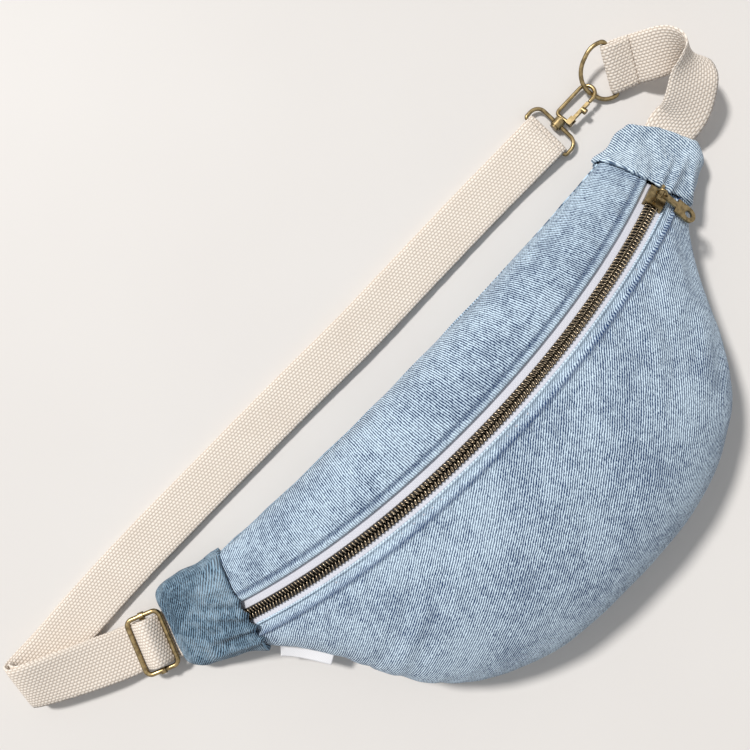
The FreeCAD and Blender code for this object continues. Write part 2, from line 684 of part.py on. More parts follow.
def make_slider():
    """Slider: two plates, a post, four flanges and the bridge for the link."""
    tape = size("tape_thickness") / 2
    gap = size("slider_gap")
    plate = size("slider_plate")
    under = -tape - gap
    over = CHAIN_TOP + gap
    length = "Sizes.slider_length"
    width = "Sizes.slider_width"
    thick = "Sizes.slider_plate"
    pieces = [block(Vector(0, 0, under - plate / 2), length, width, thick)]
    pieces.append(block(Vector(0, 0, over + plate / 2), length, width, thick))
    wall = size("slider_width") / 2 - size("coil_width") - gap
    flange_height = over - tape - gap + 0.4
    flange_middle = tape + gap + flange_height / 2
    for side in (1, -1):
        middle = Vector(0, side * (size("slider_width") - wall) / 2, flange_middle)
        pieces.append(block(middle, length, f"{wall} mm", f"{flange_height} mm"))
    post_height = over - under + 0.8
    post_length = size("slider_length") / 2 - size("post_place")
    post_middle = Vector(size("post_place") + post_length / 2, 0, (over + under) / 2)
    pieces.append(block(post_middle, f"{post_length} mm", "Sizes.post_width", f"{post_height} mm"))
    top = over + plate
    beam = top + size("bridge_rise") + size("bridge_thickness") / 2
    span = "Sizes.bridge_length + 2 * Sizes.bridge_thickness"
    pieces.append(block(Vector(0, 0, beam), span, "Sizes.bridge_width", "Sizes.bridge_thickness"))
    leg_height = size("bridge_rise") + 0.4
    reach = (size("bridge_length") + size("bridge_thickness")) / 2
    for side in (1, -1):
        leg = Vector(side * reach, 0, top + leg_height / 2 - 0.2)
        pieces.append(block(leg, "Sizes.bridge_thickness", "Sizes.bridge_width", f"{leg_height} mm"))
    frame = zip_frame(size("slider_place"))
    settle(fuse(pieces), "slider", frame)
    return frame, beam


def make_pull(frame, beam):
    """Link ring round the slider's bridge and the flat pull hanging from it."""
    ring_middle = Vector(0, -size("link_shift"), beam)
    ring = bound("Part::Torus", Placement(), Radius1="Sizes.link_radius", Radius2="Sizes.link_wire")
    turn = Rotation(Vector(0, 1, 0), Vector(0, 0, 1), Vector(1, 0, 0), "ZXY")
    settle(ring, "pull_link", frame.multiply(Placement(ring_middle, turn)))
    droop = math.radians(size("pull_droop"))
    along = Vector(0, -math.cos(droop), -math.sin(droop))
    flat = Placement(ring_middle, Rotation(along, Vector(1, 0, 0), along.cross(Vector(1, 0, 0)), "ZXY"))
    thick = "Sizes.pull_thickness"
    half = size("pull_thickness") / 2
    eye = size("link_wire") + size("eye_play")
    start = size("link_radius") - eye - size("eye_margin")
    neck_end = start + size("pull_length") * 0.42
    round_place = start + size("pull_length") - size("pull_width") / 2
    down = Vector(0, 0, -half)
    neck_middle = Vector((start + neck_end) / 2 + 0.5, 0, 0)
    neck = block(neck_middle, f"{neck_end - start + 1} mm", "Sizes.pull_neck", thick)
    blade_length = round_place - neck_end
    blade_middle = Vector(neck_end + blade_length / 2, 0, 0)
    blade = block(blade_middle, f"{blade_length} mm", "Sizes.pull_width", thick)
    level = Rotation()
    tip_place = Placement(Vector(round_place, 0, 0) + down, level)
    tip = bound("Part::Cylinder", tip_place, Radius="Sizes.pull_width / 2", Height=thick)
    low = Vector(0, 0, -half - 1)
    deep = "Sizes.pull_thickness + 2"
    hole_place = Placement(Vector(round_place, 0, 0) + low, level)
    hole = bound("Part::Cylinder", hole_place, Radius="Sizes.pull_hole", Height=deep)
    eye_place = Placement(Vector(size("link_radius"), 0, 0) + low, level)
    eye_hole = bound("Part::Cylinder", eye_place, Radius="Sizes.link_wire + Sizes.eye_play", Height=deep)
    plate = cut(fuse([neck, blade, tip]), fuse([hole, eye_hole]))
    settle(plate, "pull_tab", frame.multiply(flat))


# ---------------------------------------------------------------------------
# Straps: flat webbing along runs and arcs, turned over where the path turns.
# ---------------------------------------------------------------------------
def route(points):
    """Stations along a run of points: straight runs joined by tangent arcs."""
    stations = []
    radii = []
    start = (points[0], 0)
    for index in range(1, len(points) - 1):
        before = points[index - 1] - points[index]
        after = points[index + 1] - points[index]
        shorter = min(before.Length, after.Length)
        before.normalize()
        after.normalize()
        half = before.getAngle(after) / 2
        turn = math.pi - 2 * half
        reach = 0.45 * shorter
        radius = reach / math.tan(turn / 2)
        radii.append(round(radius, 1))
        first = points[index] + before * reach
        middle = before + after
        middle.normalize()
        centre = points[index] + middle * (radius / math.sin(half))
        arm = first - centre
        axis = before.cross(after) * -1
        axis.normalize()
        stations.append((start[0], before * -1, start[1]))
        stations.append((first, before * -1, index))
        steps = max(1, math.ceil(math.degrees(turn) / 15))
        for step in range(1, steps + 1):
            bend_turn = Rotation(axis, math.degrees(turn) * step / steps)
            stations.append((centre + bend_turn.multVec(arm), bend_turn.multVec(before * -1), index))
        start = (stations.pop()[0], index)
    end = points[-1] - points[-2]
    end.normalize()
    stations.append((start[0], end, start[1]))
    stations.append((points[-1], end, len(points) - 1))
    return stations, radii


def ribbon_solid(sections):
    """Solid through rectangles: four ruled strips between neighbours and two ends."""
    faces = [Part.Face(Part.makePolygon(ring + [ring[0]])) for ring in (sections[0], sections[-1])]
    for near, far in zip(sections, sections[1:]):
        for side in range(4):
            follow = (side + 1) % 4
            first = Part.makeLine(near[side], near[follow])
            second = Part.makeLine(far[side], far[follow])
            faces.append(Part.makeRuledSurface(first, second, 1))
    shell = Part.makeShell(faces)
    shell.sewShape()
    solid = Part.makeSolid(shell)
    if solid.Volume < 0:
        solid.reverse()
    return solid


def webbing(label, points, hints):
    """Flat strap: rectangles across the path, each point's width direction given by its hint."""
    stations, radii = route(points)
    wide = size("webbing_width") / 2
    half = size("webbing_thickness") / 2
    sections = []
    length = 0.0
    for index, (point, heading, vertex) in enumerate(stations):
        if index:
            length += (point - stations[index - 1][0]).Length
        hint = hints[vertex]
        across = hint - heading * hint.dot(heading)
        across.normalize()
        out = heading.cross(across)
        corners = []
        for side, level in ((1, 1), (-1, 1), (-1, -1), (1, -1)):
            corners.append(point + across * (side * wide) + out * (level * half))
        sections.append(corners)
    solid = ribbon_solid(sections)
    expected = length * 4 * wide * half
    ratio = round(solid.Volume / expected, 3)
    print(label, "length", round(length, 1), "volume ratio", ratio, "radii", radii)
    feature(label, solid)


def mouth_point(side, reach, height):
    """Point on the strap's line out of a tab's mouth."""
    base, out, across = strap_axes(side)
    point = base + out * reach
    return Vector(point.x, point.y, height)


LEVEL_WIDTH = Vector(0, 1, 0)


def fold_width(rise):
    """Direction of the webbing's width at the fold, with its upper selvedge raised."""
    return Vector(0.2335, 0.9724, rise)


def make_long_strap():
    """Long strap out of the left tab, over the buckle, folded and out to the hook, and its return."""
    mouth_width = strap_axes(-1)[2]
    leave = [(-16, 8.2), (-7, 8.25), (1.2, 8.1), (6.3, 5), (11, 11.4), (14.5, 13.6)]
    leave += [(18, 11.4), (22.7, 5), (31, 6.5)]
    points = [mouth_point(-1, reach, height) for reach, height in leave]
    fold = [(-214.2, 82.6, 9.4), (-231.5, 91.8, 13.4), (-247.3, 100.7, 16.4)]
    fold += [(-250.8, 103.5, 9.4), (-246.4, 104.5, 2.95)]
    run = [(-231, 105, 1.4), (-205, 106.9, 0.95), (-160, 108, 0.95)]
    run += [(-105, 107.7, 0.95), (-50, 107.3, 0.95), (-12, 106.3, 1.6)]
    run += [(36, 107, 0.95), (80, 107.5, 0.95), (104, 107.3, 0.95), (118, 107.2, 1)]
    eye = [(125.2, 107.3, 0.95), (129, 107.2, 0.95), (132.3, 107.2, 0.95)]
    eye += [(133.5, 107.2, 2.95), (132.3, 107.2, 4.95), (128, 107.2, 4.95)]
    points += [Vector(*place) for place in fold + run + eye]
    turned = [fold_width(rise) for rise in (0.26, 0.34, 0.24, 0.06)]
    hints = [mouth_width] * 10 + turned + [LEVEL_WIDTH] * (len(points) - 14)
    webbing("strap_outer", points, hints)
    top = [(127.6, 107.2, 4.95), (119, 107.25, 4.4), (106, 107.3, 2.9)]
    top += [(84, 107.45, 2.85), (48, 107.1, 2.85), (10, 106.5, 3.25)]
    back = [(-12, 106.3, 3.55), (-50, 107.3, 2.85), (-105, 107.7, 2.85), (-170, 107.9, 2.85)]
    turn = [(-210, 106.3, 2.85), (-232.5, 104.2, 3.5), (-245.1, 103.4, 5.0)]
    turn += [(-248.2, 102.8, 9.4), (-245.8, 100.7, 14.05)]
    home = [(-237.6, 95.6, 12.1), (-228.4, 90.2, 10.2), (-213.8, 82.4, 6.95)]
    points = [Vector(*place) for place in top + back + turn + home]
    lead = [(30.5, 4.45), (21.9, 3.15), (19, 6.6), (16.2, 10.45), (13.3, 10.75), (12.08, 8.6)]
    lead += [(13.29, 6.5), (17.5, 5), (23, 2.1), (31, 2.5), (40, 4.3)]
    points += [mouth_point(-1, reach, height) for reach, height in lead]
    turned = [fold_width(rise) for rise in (0.06, 0.24, 0.34, 0.3, 0.22)]
    hints = [LEVEL_WIDTH] * 12 + turned + [mouth_width] * (len(points) - 17)
    webbing("strap_return", points, hints)


# ---------------------------------------------------------------------------
# Short strap out of the right tab, the D-ring in its loop and the blank side tag.
# ---------------------------------------------------------------------------
def lengthwise(vector):
    """Unit vector."""
    unit = Vector(vector)
    unit.normalize()
    return unit


# Crest of the short strap: places of its middle, and directions of its width there.
CREST = (
    ((182.5, 64.9, 15), (-0.56, 0.83, 0)),
    ((189.5, 69.5, 20.5), (-0.67, 0.74, 0.05)),
    ((195.5, 74.8, 24.5), (-0.5, 0.85, 0.2)),
    ((200.2, 80.4, 26), (-0.33, 0.58, 0.74)),
    ((202, 86, 25), (-0.06, 0.44, 0.88)),
    ((197.2, 93, 20.5), (0.45, 0.63, 0.62)),
    ((190.4, 98.7, 15), (0.47, 0.72, 0.5)),
)
RING_TILT = math.radians(size("ring_tilt"))
RING_TURN = math.radians(size("ring_turn"))
RING_LEVEL = Vector(math.sin(RING_TURN), math.cos(RING_TURN), 0)
RING_SIDE = RING_LEVEL * math.cos(RING_TILT) + Vector(0, 0, math.sin(RING_TILT))
RING_OUT = lengthwise(Vector(-math.cos(RING_TURN), math.sin(RING_TURN), size("ring_drop")))
RING_OUT = lengthwise(RING_OUT - RING_SIDE * RING_OUT.dot(RING_SIDE))
RING_UP = RING_SIDE.cross(RING_OUT)
RING_MIDDLE = Vector(size("ring_place"), size("ring_side"), size("ring_height"))
RING_FRAME = Placement(RING_MIDDLE, Rotation(RING_OUT, RING_UP.cross(RING_OUT), RING_UP, "ZXY"))


def ring_point(out, up):
    """Point of the D-ring's bar plane: distance towards the bow and above it."""
    return RING_MIDDLE + RING_OUT * out + RING_UP * up


def make_ring():
    """D-ring: a bar for the strap and a rounded bow."""
    half = size("webbing_width") / 2 + size("ring_slack") + size("ring_wire")
    side = size("ring_shoulder")
    peak = size("ring_peak")
    points = [Vector(0, half, 0), Vector(0, -half, 0), Vector(side, -half, 0)]
    points += [Vector(peak, 0, 0), Vector(side, half, 0)]
    corner = "Sizes.ring_corner"
    shoulder = "Sizes.shoulder_corner"
    radii = [corner, corner, shoulder, "Sizes.ring_arc", shoulder]
    settle(fuse(bent_wire(points, radii, "Sizes.ring_wire")), "d_ring", RING_FRAME)


def link_point():
    """Where the D-ring's bow passes through the hook."""
    half = size("webbing_width") / 2 + size("ring_slack") + size("ring_wire")
    slope = math.atan2(half, size("ring_peak") - size("ring_shoulder"))
    middle = size("ring_peak") - size("ring_arc") / math.sin(slope)
    turn = math.radians(size("link_turn"))
    out = middle + size("ring_arc") * math.cos(turn)
    return RING_MIDDLE + RING_OUT * out - RING_SIDE * (size("ring_arc") * math.sin(turn))


def make_short_strap():
    """Short strap: out of the right tab, over its crest, round the D-ring's bar and back."""
    points = [mouth_point(1, reach, height) for reach, height in ((-16, 10.4), (-8, 10.45), (-1.5, 10.6))]
    points += [Vector(*place) for place, _ in CREST]
    wrap = size("ring_wire") + size("layer_gap") + size("webbing_thickness") / 2
    points += [ring_point(-9.5, -0.6), ring_point(-3.4, -wrap - 0.1), ring_point(wrap * 0.577, -wrap)]
    points += [ring_point(wrap * 1.155, 0), ring_point(wrap * 0.577, wrap)]
    points += [ring_point(-3.4, wrap + 0.1), ring_point(-11, wrap - 0.2)]
    mouth_width = strap_axes(1)[2]
    hints = [mouth_width] * 3 + [Vector(*width) for _, width in CREST] + [RING_SIDE] * 7
    webbing("short_strap", points, hints)


def make_tag():
    """Blank folded tag standing out of the side seam."""
    wires = []
    half = size("tag_thickness") / 2
    for step in range(7):
        share = -size("tag_start") + (size("tag_start") - size("tag_end")) * step / 6
        point = lower_edge(share)
        along = lower_edge(share + 0.004) - lower_edge(share - 0.004)
        out = lengthwise(Vector(along.y, -along.x, 0))
        root = point + out * size("soft_clearance")
        free = root + out * size("tag_reach") + Vector(0, 0, -size("tag_drop"))
        lift = Vector(0, 0, half)
        wires.append(Part.makePolygon([root + lift, free + lift, free - lift, root - lift, root + lift]))
    feature("side_tag", Part.makeLoft(wires, True, False))


# ---------------------------------------------------------------------------
# Buckle on the long strap.
# ---------------------------------------------------------------------------
def make_buckle():
    """Wire frame of the buckle and its middle bar, curled round the frame's sides."""
    base, out, across = strap_axes(-1)
    middle = base + out * size("buckle_reach")
    middle.z = size("buckle_height")
    frame = Placement(middle, Rotation(out, Vector(0, 0, 1).cross(out), Vector(0, 0, 1), "ZXY"))
    curl = size("buckle_wire") + size("metal_play") + size("curl_wall")
    half = size("webbing_width") / 2 + size("buckle_slack") + curl
    side = size("buckle_side")
    points = [Vector(side, half, 0), Vector(-side, half, 0), Vector(-side, -half, 0), Vector(side, -half, 0)]
    wire = bent_wire(points, ["Sizes.buckle_corner"] * 4, "Sizes.buckle_wire")
    settle(fuse(wire), "buckle_frame", frame)
    end = half - size("buckle_wire") - size("metal_play") - 0.1
    pieces = [rod(Vector(0, -end, 0), Vector(0, end, 0), "Sizes.bar_wire")]
    bores = []
    for place in (-half, half):
        reach = Vector(size("curl_length") / 2, 0, 0)
        centre = Vector(0, place, 0)
        outer = "Sizes.buckle_wire + Sizes.metal_play + Sizes.curl_wall"
        pieces.append(rod(centre - reach, centre + reach, outer))
        bores.append(rod(centre - reach * 2, centre + reach * 2, "Sizes.buckle_wire + Sizes.metal_play"))
    settle(cut(fuse(pieces), fuse(bores)), "buckle_bar", frame)


# ---------------------------------------------------------------------------
# Swivel hook on the long strap's end.
# ---------------------------------------------------------------------------
def make_hook():
    """Eye with its collar, swivelling hook, gate and pivot pin."""
    eye = Vector(size("eye_place"), size("run_side"), size("eye_height"))
    link = link_point()
    along = lengthwise(link - eye)
    level = lengthwise(Vector(0, 0, 1).cross(along))
    eye_turn = Rotation(along, level, along.cross(level), "ZXY")
    eye_frame = Placement(eye, eye_turn)
    roll = Rotation(Vector(1, 0, 0), size("hook_roll"))
    body_frame = Placement(eye, eye_turn.multiply(roll))
    half = size("webbing_width") / 2 + size("eye_slack") + size("eye_wire")
    depth = size("eye_depth")
    points = [Vector(0, half, 0), Vector(0, -half, 0), Vector(depth, -half, 0), Vector(depth, half, 0)]
    radii = ["Sizes.eye_bar_corner", "Sizes.eye_bar_corner", "Sizes.eye_corner", "Sizes.eye_corner"]
    pieces = bent_wire(points, radii, "Sizes.eye_wire")
    collar_start = depth - size("collar_length") * 0.45
    collar_end = collar_start + size("collar_length")
    pieces.append(rod(Vector(collar_start, 0, 0), Vector(collar_end, 0, 0), "Sizes.collar_radius"))
    through = Vector(1, 0, 0)
    bore_ends = (Vector(collar_start, 0, 0) - through, Vector(collar_end, 0, 0) + through)
    bore = rod(*bore_ends, "Sizes.shank_radius + Sizes.metal_play")
    settle(cut(fuse(pieces), bore), "hook_eye", eye_frame)

    head_end = collar_start - size("metal_play")
    head_start = head_end - size("head_thickness")
    cross = collar_end + size("metal_play") + size("shank_radius")
    wide = size("hook_half_width")
    tip = (link - eye).Length + size("ring_wire") + size("link_clear") + size("hook_wire")
    nose = tip - size("hook_nose")
    pieces = [rod(Vector(head_start, 0, 0), Vector(head_end, 0, 0), "Sizes.shank_head")]
    pieces.append(rod(Vector(head_start, 0, 0), Vector(cross, 0, 0), "Sizes.shank_radius"))
    bow = [Vector(cross, -wide, 0), Vector(cross, wide, 0), Vector(tip, wide, 0)]
    bow += [Vector(tip, -wide, 0), Vector(nose, -wide, 0)]
    bend_radius = "Sizes.hook_half_width"
    radii = [None, "Sizes.neck_corner", bend_radius, bend_radius, None]
    pieces += bent_wire(bow, radii, "Sizes.hook_wire", closed=False)
    pieces.append(ball(Vector(nose, -wide, 0), "Sizes.hook_wire"))
    pin = cross + size("pin_reach")
    ear_middle = Vector((cross + pin) / 2 + 0.1, -wide, 0)
    ear_length = f"{pin - cross + 2.2} mm"
    pieces.append(block(ear_middle, ear_length, "Sizes.ear_width", "Sizes.gate_width + 2 * Sizes.ear_wall"))
    slot_start = pin - size("gate_depth") / 2 - 0.45
    slot_middle = Vector(slot_start + 5, -wide, 0)
    slot = block(slot_middle, "10", "Sizes.ear_width + 2", "Sizes.gate_width + 2 * Sizes.metal_play")
    pin_base = Vector(pin, -wide, -size("gate_width") / 2 - size("ear_wall"))
    pin_top = Vector(pin, -wide, size("gate_width") / 2 + size("ear_wall"))
    lift = Vector(0, 0, 1)
    bore = rod(pin_base - lift, pin_top + lift, "Sizes.pin_radius + Sizes.metal_play")
    ear = cut(pieces.pop(), fuse([slot, bore]))
    settle(fuse(pieces + [ear]), "hook_body", body_frame)
    pin_frame = body_frame.multiply(Placement(pin_base, Rotation()))
    settle(rod(pin_base, pin_top, "Sizes.pin_radius"), "gate_pin", pin_frame)

    gate_end = nose - size("hook_wire") - size("gate_rest")
    lever_middle = Vector((pin + gate_end) / 2, -wide, 0)
    lever = block(lever_middle, f"{gate_end - pin} mm", "Sizes.gate_depth", "Sizes.gate_width")
    round_base = Vector(pin, -wide, -size("gate_width") / 2)
    round_top = Vector(pin, -wide, size("gate_width") / 2)
    eye_round = rod(round_base, round_top, "Sizes.gate_depth / 2 + 0.2")
    knob_place = pin + (gate_end - pin) * 0.62
    knob_root = Vector(knob_place, -wide, 0)
    knob_tip = Vector(knob_place, -wide - size("gate_depth") / 2 - size("knob_rise"), 0)
    knob = rod(knob_root, knob_tip, "Sizes.knob_radius")
    knob_bore = rod(round_base - lift, round_top + lift, "Sizes.pin_radius + Sizes.metal_play")
    settle(cut(fuse([lever, eye_round, knob]), knob_bore), "hook_gate", body_frame)


make_panels()
make_lining()
make_end_tab(-1, "left_tab")
make_end_tab(1, "right_tab")
make_zip()
make_stops()
slider_frame, bridge_height = make_slider()
make_pull(slider_frame, bridge_height)
make_long_strap()
make_buckle()
make_ring()
make_short_strap()
make_hook()
make_tag()

doc.recompute()
for item in doc.Objects:
    if "Invalid" in item.State or "Error" in item.State:
        raise RuntimeError(f"{item.Label} did not recompute: {item.State}")
for item in parts:
    if item.Shape.isNull() or not item.Shape.isValid():
        raise RuntimeError(f"{item.Label} has no valid shape")
os.makedirs("parts", exist_ok=True)
for item in parts:
    item.Shape.exportStep(f"parts/{item.Label}.step")
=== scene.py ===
"""Denim waist pack with webbing strap, buckle and swivel hook, finished for looks.

Lengths in the shape functions are in millimetres and become metres in the mesh.
"""
import math
from functools import partial

import bpy
import numpy as np
from mathutils import Matrix, Vector, noise


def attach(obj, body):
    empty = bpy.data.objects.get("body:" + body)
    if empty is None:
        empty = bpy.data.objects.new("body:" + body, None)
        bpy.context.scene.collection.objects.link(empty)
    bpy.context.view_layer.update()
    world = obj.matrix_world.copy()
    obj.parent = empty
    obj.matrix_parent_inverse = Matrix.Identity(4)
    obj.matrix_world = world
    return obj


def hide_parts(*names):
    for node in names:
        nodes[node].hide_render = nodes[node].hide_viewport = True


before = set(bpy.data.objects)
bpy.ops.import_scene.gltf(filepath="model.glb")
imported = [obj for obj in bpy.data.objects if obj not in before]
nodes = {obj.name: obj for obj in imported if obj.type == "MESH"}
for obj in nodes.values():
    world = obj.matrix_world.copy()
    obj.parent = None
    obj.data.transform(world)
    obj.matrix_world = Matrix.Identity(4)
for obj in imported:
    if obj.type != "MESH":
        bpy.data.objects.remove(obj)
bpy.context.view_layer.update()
MM = 0.001
HALF_WEBBING = 12.5
HALF_THICKNESS = 0.88
PANEL_THICKNESS = 1.05
LINING_GAP = 1.75
HALF_CHORD = 146
ARC_DEPTH, ARC_RISE = 17, 40
COIL_PITCH = 2.0
CHAIN_ENDS = (-32.1, 31.45)
RIB_PITCH = 0.00115
CAMERA_PLACE = (-0.016, 0.0848, 0.475)
CAMERA_ANGLE = 43.88


def clear_selection():
    """Leave nothing selected, so that an operator acts only on the next piece."""
    if bpy.context.object and bpy.context.object.mode != "OBJECT":
        bpy.ops.object.mode_set(mode="OBJECT")
    bpy.ops.object.select_all(action="DESELECT")


def take_up(piece):
    """Make one piece the selected and active one."""
    clear_selection()
    piece.select_set(True)
    bpy.context.view_layer.objects.active = piece


def new_piece(name, mesh):
    """Put a mesh into the scene as the active piece."""
    piece = bpy.data.objects.new(name, mesh)
    bpy.context.scene.collection.objects.link(piece)
    take_up(piece)
    return piece


def edit_all(*tools):
    """Use edit-mode tools on all of the active piece."""
    bpy.ops.object.mode_set(mode="EDIT")
    bpy.ops.mesh.select_all(action="SELECT")
    for tool in tools:
        tool()
    bpy.ops.object.mode_set(mode="OBJECT")


def face_out():
    """Turn the selected faces outwards."""
    bpy.ops.mesh.normals_make_consistent(inside=False)


def built(name, vertices, faces):
    """Smooth piece made of vertices and faces, facing outwards."""
    mesh = bpy.data.meshes.new(name)
    mesh.from_pydata([tuple(vertex) for vertex in vertices], [], faces)
    piece = new_piece(name, mesh)
    edit_all(face_out)
    bpy.ops.object.shade_smooth()
    return piece


def seat(piece, node):
    """Let a piece ride on the pack in place of its CAD node."""
    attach(piece, "pack")
    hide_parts(node)


def upwards(normal):
    """The direction or its opposite, whichever points up."""
    return -normal if normal.z < 0 else normal


# Camera: straight above the pack, turned as the pack lies.
VIEW_RIGHT = Vector((0.6974, -0.7168, 0.0))
VIEW_UP = Vector((0.7168, 0.6974, 0.0))


def place_camera():
    """Camera looking straight down."""
    lens = bpy.data.cameras.new("overhead")
    lens.sensor_width = 36
    lens.angle = math.radians(CAMERA_ANGLE)
    lens.clip_start = 0.01
    camera = bpy.data.objects.new("overhead", lens)
    bpy.context.scene.collection.objects.link(camera)
    turn = Matrix((VIEW_RIGHT, VIEW_UP, Vector((0, 0, 1)))).transposed()
    camera.matrix_world = Matrix.Translation(CAMERA_PLACE) @ turn.to_4x4()
    bpy.context.scene.camera = camera


place_camera()


# Webbing routes: centre points and the direction of the webbing's width.
STRAP_SLOPE = math.radians(23)


def mouth_point(side, reach, height):
    """Point on the line that a strap takes out of an end tab."""
    return Vector((side * (176.5 + reach * math.cos(STRAP_SLOPE)), 65.5 + reach * math.sin(STRAP_SLOPE), height))


def mouth_width(side):
    """Direction of the webbing's width at an end tab."""
    return Vector((-side * math.sin(STRAP_SLOPE), math.cos(STRAP_SLOPE), 0))


LEVEL_WIDTH = Vector((0, 1, 0))
RING_TILT = math.radians(27)
RING_TURN = math.radians(21.7)
RING_MIDDLE = Vector((176.8, 107.1, 8.6))
RING_LEVEL = Vector((math.sin(RING_TURN), math.cos(RING_TURN), 0))
RING_SIDE = RING_LEVEL * math.cos(RING_TILT) + Vector((0, 0, math.sin(RING_TILT)))
RING_OUT = Vector((-math.cos(RING_TURN), math.sin(RING_TURN), -0.08)).normalized()
RING_OUT = (RING_OUT - RING_SIDE * RING_OUT.dot(RING_SIDE)).normalized()
RING_UP = RING_SIDE.cross(RING_OUT)


def ring_point(out, up):
    """Point in the plane across the D-ring's bar."""
    return RING_MIDDLE + RING_OUT * out + RING_UP * up


def vectors(places):
    """List of places as vectors."""
    return [Vector(place) for place in places]


def fold_widths(rises):
    """Directions of the webbing's width round the fold, its upper selvedge raised."""
    return [Vector((0.2335, 0.9724, rise)).normalized() for rise in rises]


def long_strap_route():
    """Long strap: out of the left tab, through the buckle, folded over and out to the hook."""
    leave = ((-16, 8.2), (-7, 8.25), (1.2, 8.1), (6.3, 5), (11, 11.4), (14.5, 13.6), (18, 11.4), (22.7, 5), (31, 6.5))
    points = [mouth_point(-1, reach, height) for reach, height in leave]
    points += vectors(((-214.2, 82.6, 9.4), (-231.5, 91.8, 13.4), (-248.3, 101, 16.6)))
    points += vectors(((-252.3, 104.0, 9.4), (-247.4, 105, 2.9)))
    points += vectors(((-231, 105, 1.3), (-205, 106.9, 0.95), (-160, 108, 0.95), (-105, 107.7, 0.95)))
    points += vectors(((-50, 107.3, 0.95), (-12, 106.3, 1.6), (36, 107, 0.95), (80, 107.5, 0.95)))
    points += vectors(((104, 107.3, 0.95), (118, 107.2, 1), (125.2, 107.3, 0.95), (129, 107.2, 0.95)))
    points += vectors(((132.3, 107.2, 0.95), (133.5, 107.2, 2.95), (132.3, 107.2, 4.95), (128, 107.2, 4.95)))
    widths = [mouth_width(-1)] * 10 + fold_widths((0.26, 0.38, 0.28, 0.06)) + [LEVEL_WIDTH] * (len(points) - 14)
    return points, widths


def return_strap_route():
    """Strap's upper layer: from the hook back over the fold and round the buckle's bar."""
    points = vectors(((130.8, 107.2, 5.0), (119, 107.25, 4.4), (106, 107.3, 2.9), (84, 107.45, 2.85)))
    points += vectors(((48, 107.1, 2.85), (10, 106.5, 3.25), (-12, 106.3, 3.55), (-50, 107.3, 2.85)))
    points += vectors(((-105, 107.7, 2.85), (-170, 107.9, 2.85), (-210, 106.3, 2.85), (-232.5, 104.2, 3.5)))
    points += vectors(((-245.6, 103.7, 5.0), (-249.2, 103.1, 9.4), (-246.6, 101.0, 14.0)))
    points += vectors(((-237.6, 95.6, 12.1), (-228.4, 90.2, 10.2), (-213.8, 82.4, 6.95)))
    lead = ((30.5, 4.45), (21.9, 3.15), (19, 6.6), (16.2, 10.45), (13.3, 10.75), (12.08, 8.6))
    lead += ((13.29, 6.5), (17.5, 5), (23, 2.1), (31, 2.5), (40, 4.3))
    points += [mouth_point(-1, reach, height) for reach, height in lead]
    turned = fold_widths((0.06, 0.28, 0.38, 0.32, 0.22))
    widths = [LEVEL_WIDTH] * 12 + turned + [mouth_width(-1)] * (len(points) - 17)
    return points, widths


CREST = (
    ((182.5, 64.9, 15), (-0.56, 0.83, 0)),
    ((189.5, 69.5, 20.5), (-0.67, 0.74, 0.05)),
    ((195.5, 74.8, 24.5), (-0.5, 0.85, 0.2)),
    ((200.7, 80.2, 26), (-0.42, 0.72, 0.5)),
    ((203.2, 87, 25), (-0.15, 0.55, 0.8)),
    ((197.7, 93.4, 20.5), (0.45, 0.63, 0.62)),
    ((190.4, 98.7, 15), (0.47, 0.72, 0.5)),
)


def short_strap_route():
    """Short strap: out of the right tab, over its crest, round the D-ring's bar, its end sewn on top."""
    points = [mouth_point(1, reach, height) for reach, height in ((-16, 10.4), (-8, 10.45), (-1.5, 10.6))]
    points += [Vector(place) for place, _ in CREST]
    points += [ring_point(-9.5, -0.6), ring_point(-3.4, -2.25), ring_point(1.24, -2.15), ring_point(2.48, 0)]
    points += [ring_point(1.24, 2.15), ring_point(-3.4, 2.2), ring_point(-11, 1.75)]
    widths = [mouth_width(1)] * 3 + [Vector(width).normalized() for _, width in CREST] + [RING_SIDE] * 7
    return points, widths


def smooth_line(points):
    """Points along the smooth line that a run of control points steers."""
    curve = bpy.data.curves.new("line", "CURVE")
    curve.dimensions = "3D"
    curve.resolution_u = 14
    spline = curve.splines.new("NURBS")
    spline.points.add(len(points) - 1)
    for control, point in zip(spline.points, points):
        control.co = (*(point * MM), 1.0)
    spline.order_u = 3
    spline.use_endpoint_u = True
    holder = bpy.data.objects.new("line", curve)
    bpy.context.scene.collection.objects.link(holder)
    bpy.context.view_layer.update()
    mesh = bpy.data.meshes.new_from_object(holder)
    line = [vertex.co.copy() for vertex in mesh.vertices]
    bpy.data.objects.remove(holder)
    bpy.data.curves.remove(curve)
    bpy.data.meshes.remove(mesh)
    return line


def square_on(hint, heading):
    """Part of a direction that is square to a heading."""
    flat = hint - heading * hint.dot(heading)
    return flat.normalized()


def webbing_frames(points, widths):
    """Centre line, tangents and width directions of a webbing strap."""
    steered = []
    for index, point in enumerate(points):
        before = points[max(index - 1, 0)]
        after = points[min(index + 1, len(points) - 1)]
        steered.append(point + square_on(widths[index], (after - before).normalized()) * HALF_WEBBING)
    centre = smooth_line(points)
    side = smooth_line(steered)
    tangents = []
    across = []
    for index, point in enumerate(centre):
        heading = (centre[min(index + 1, len(centre) - 1)] - centre[max(index - 1, 0)]).normalized()
        tangents.append(heading)
        across.append(square_on(side[index] - point, heading))
    return centre, tangents, across


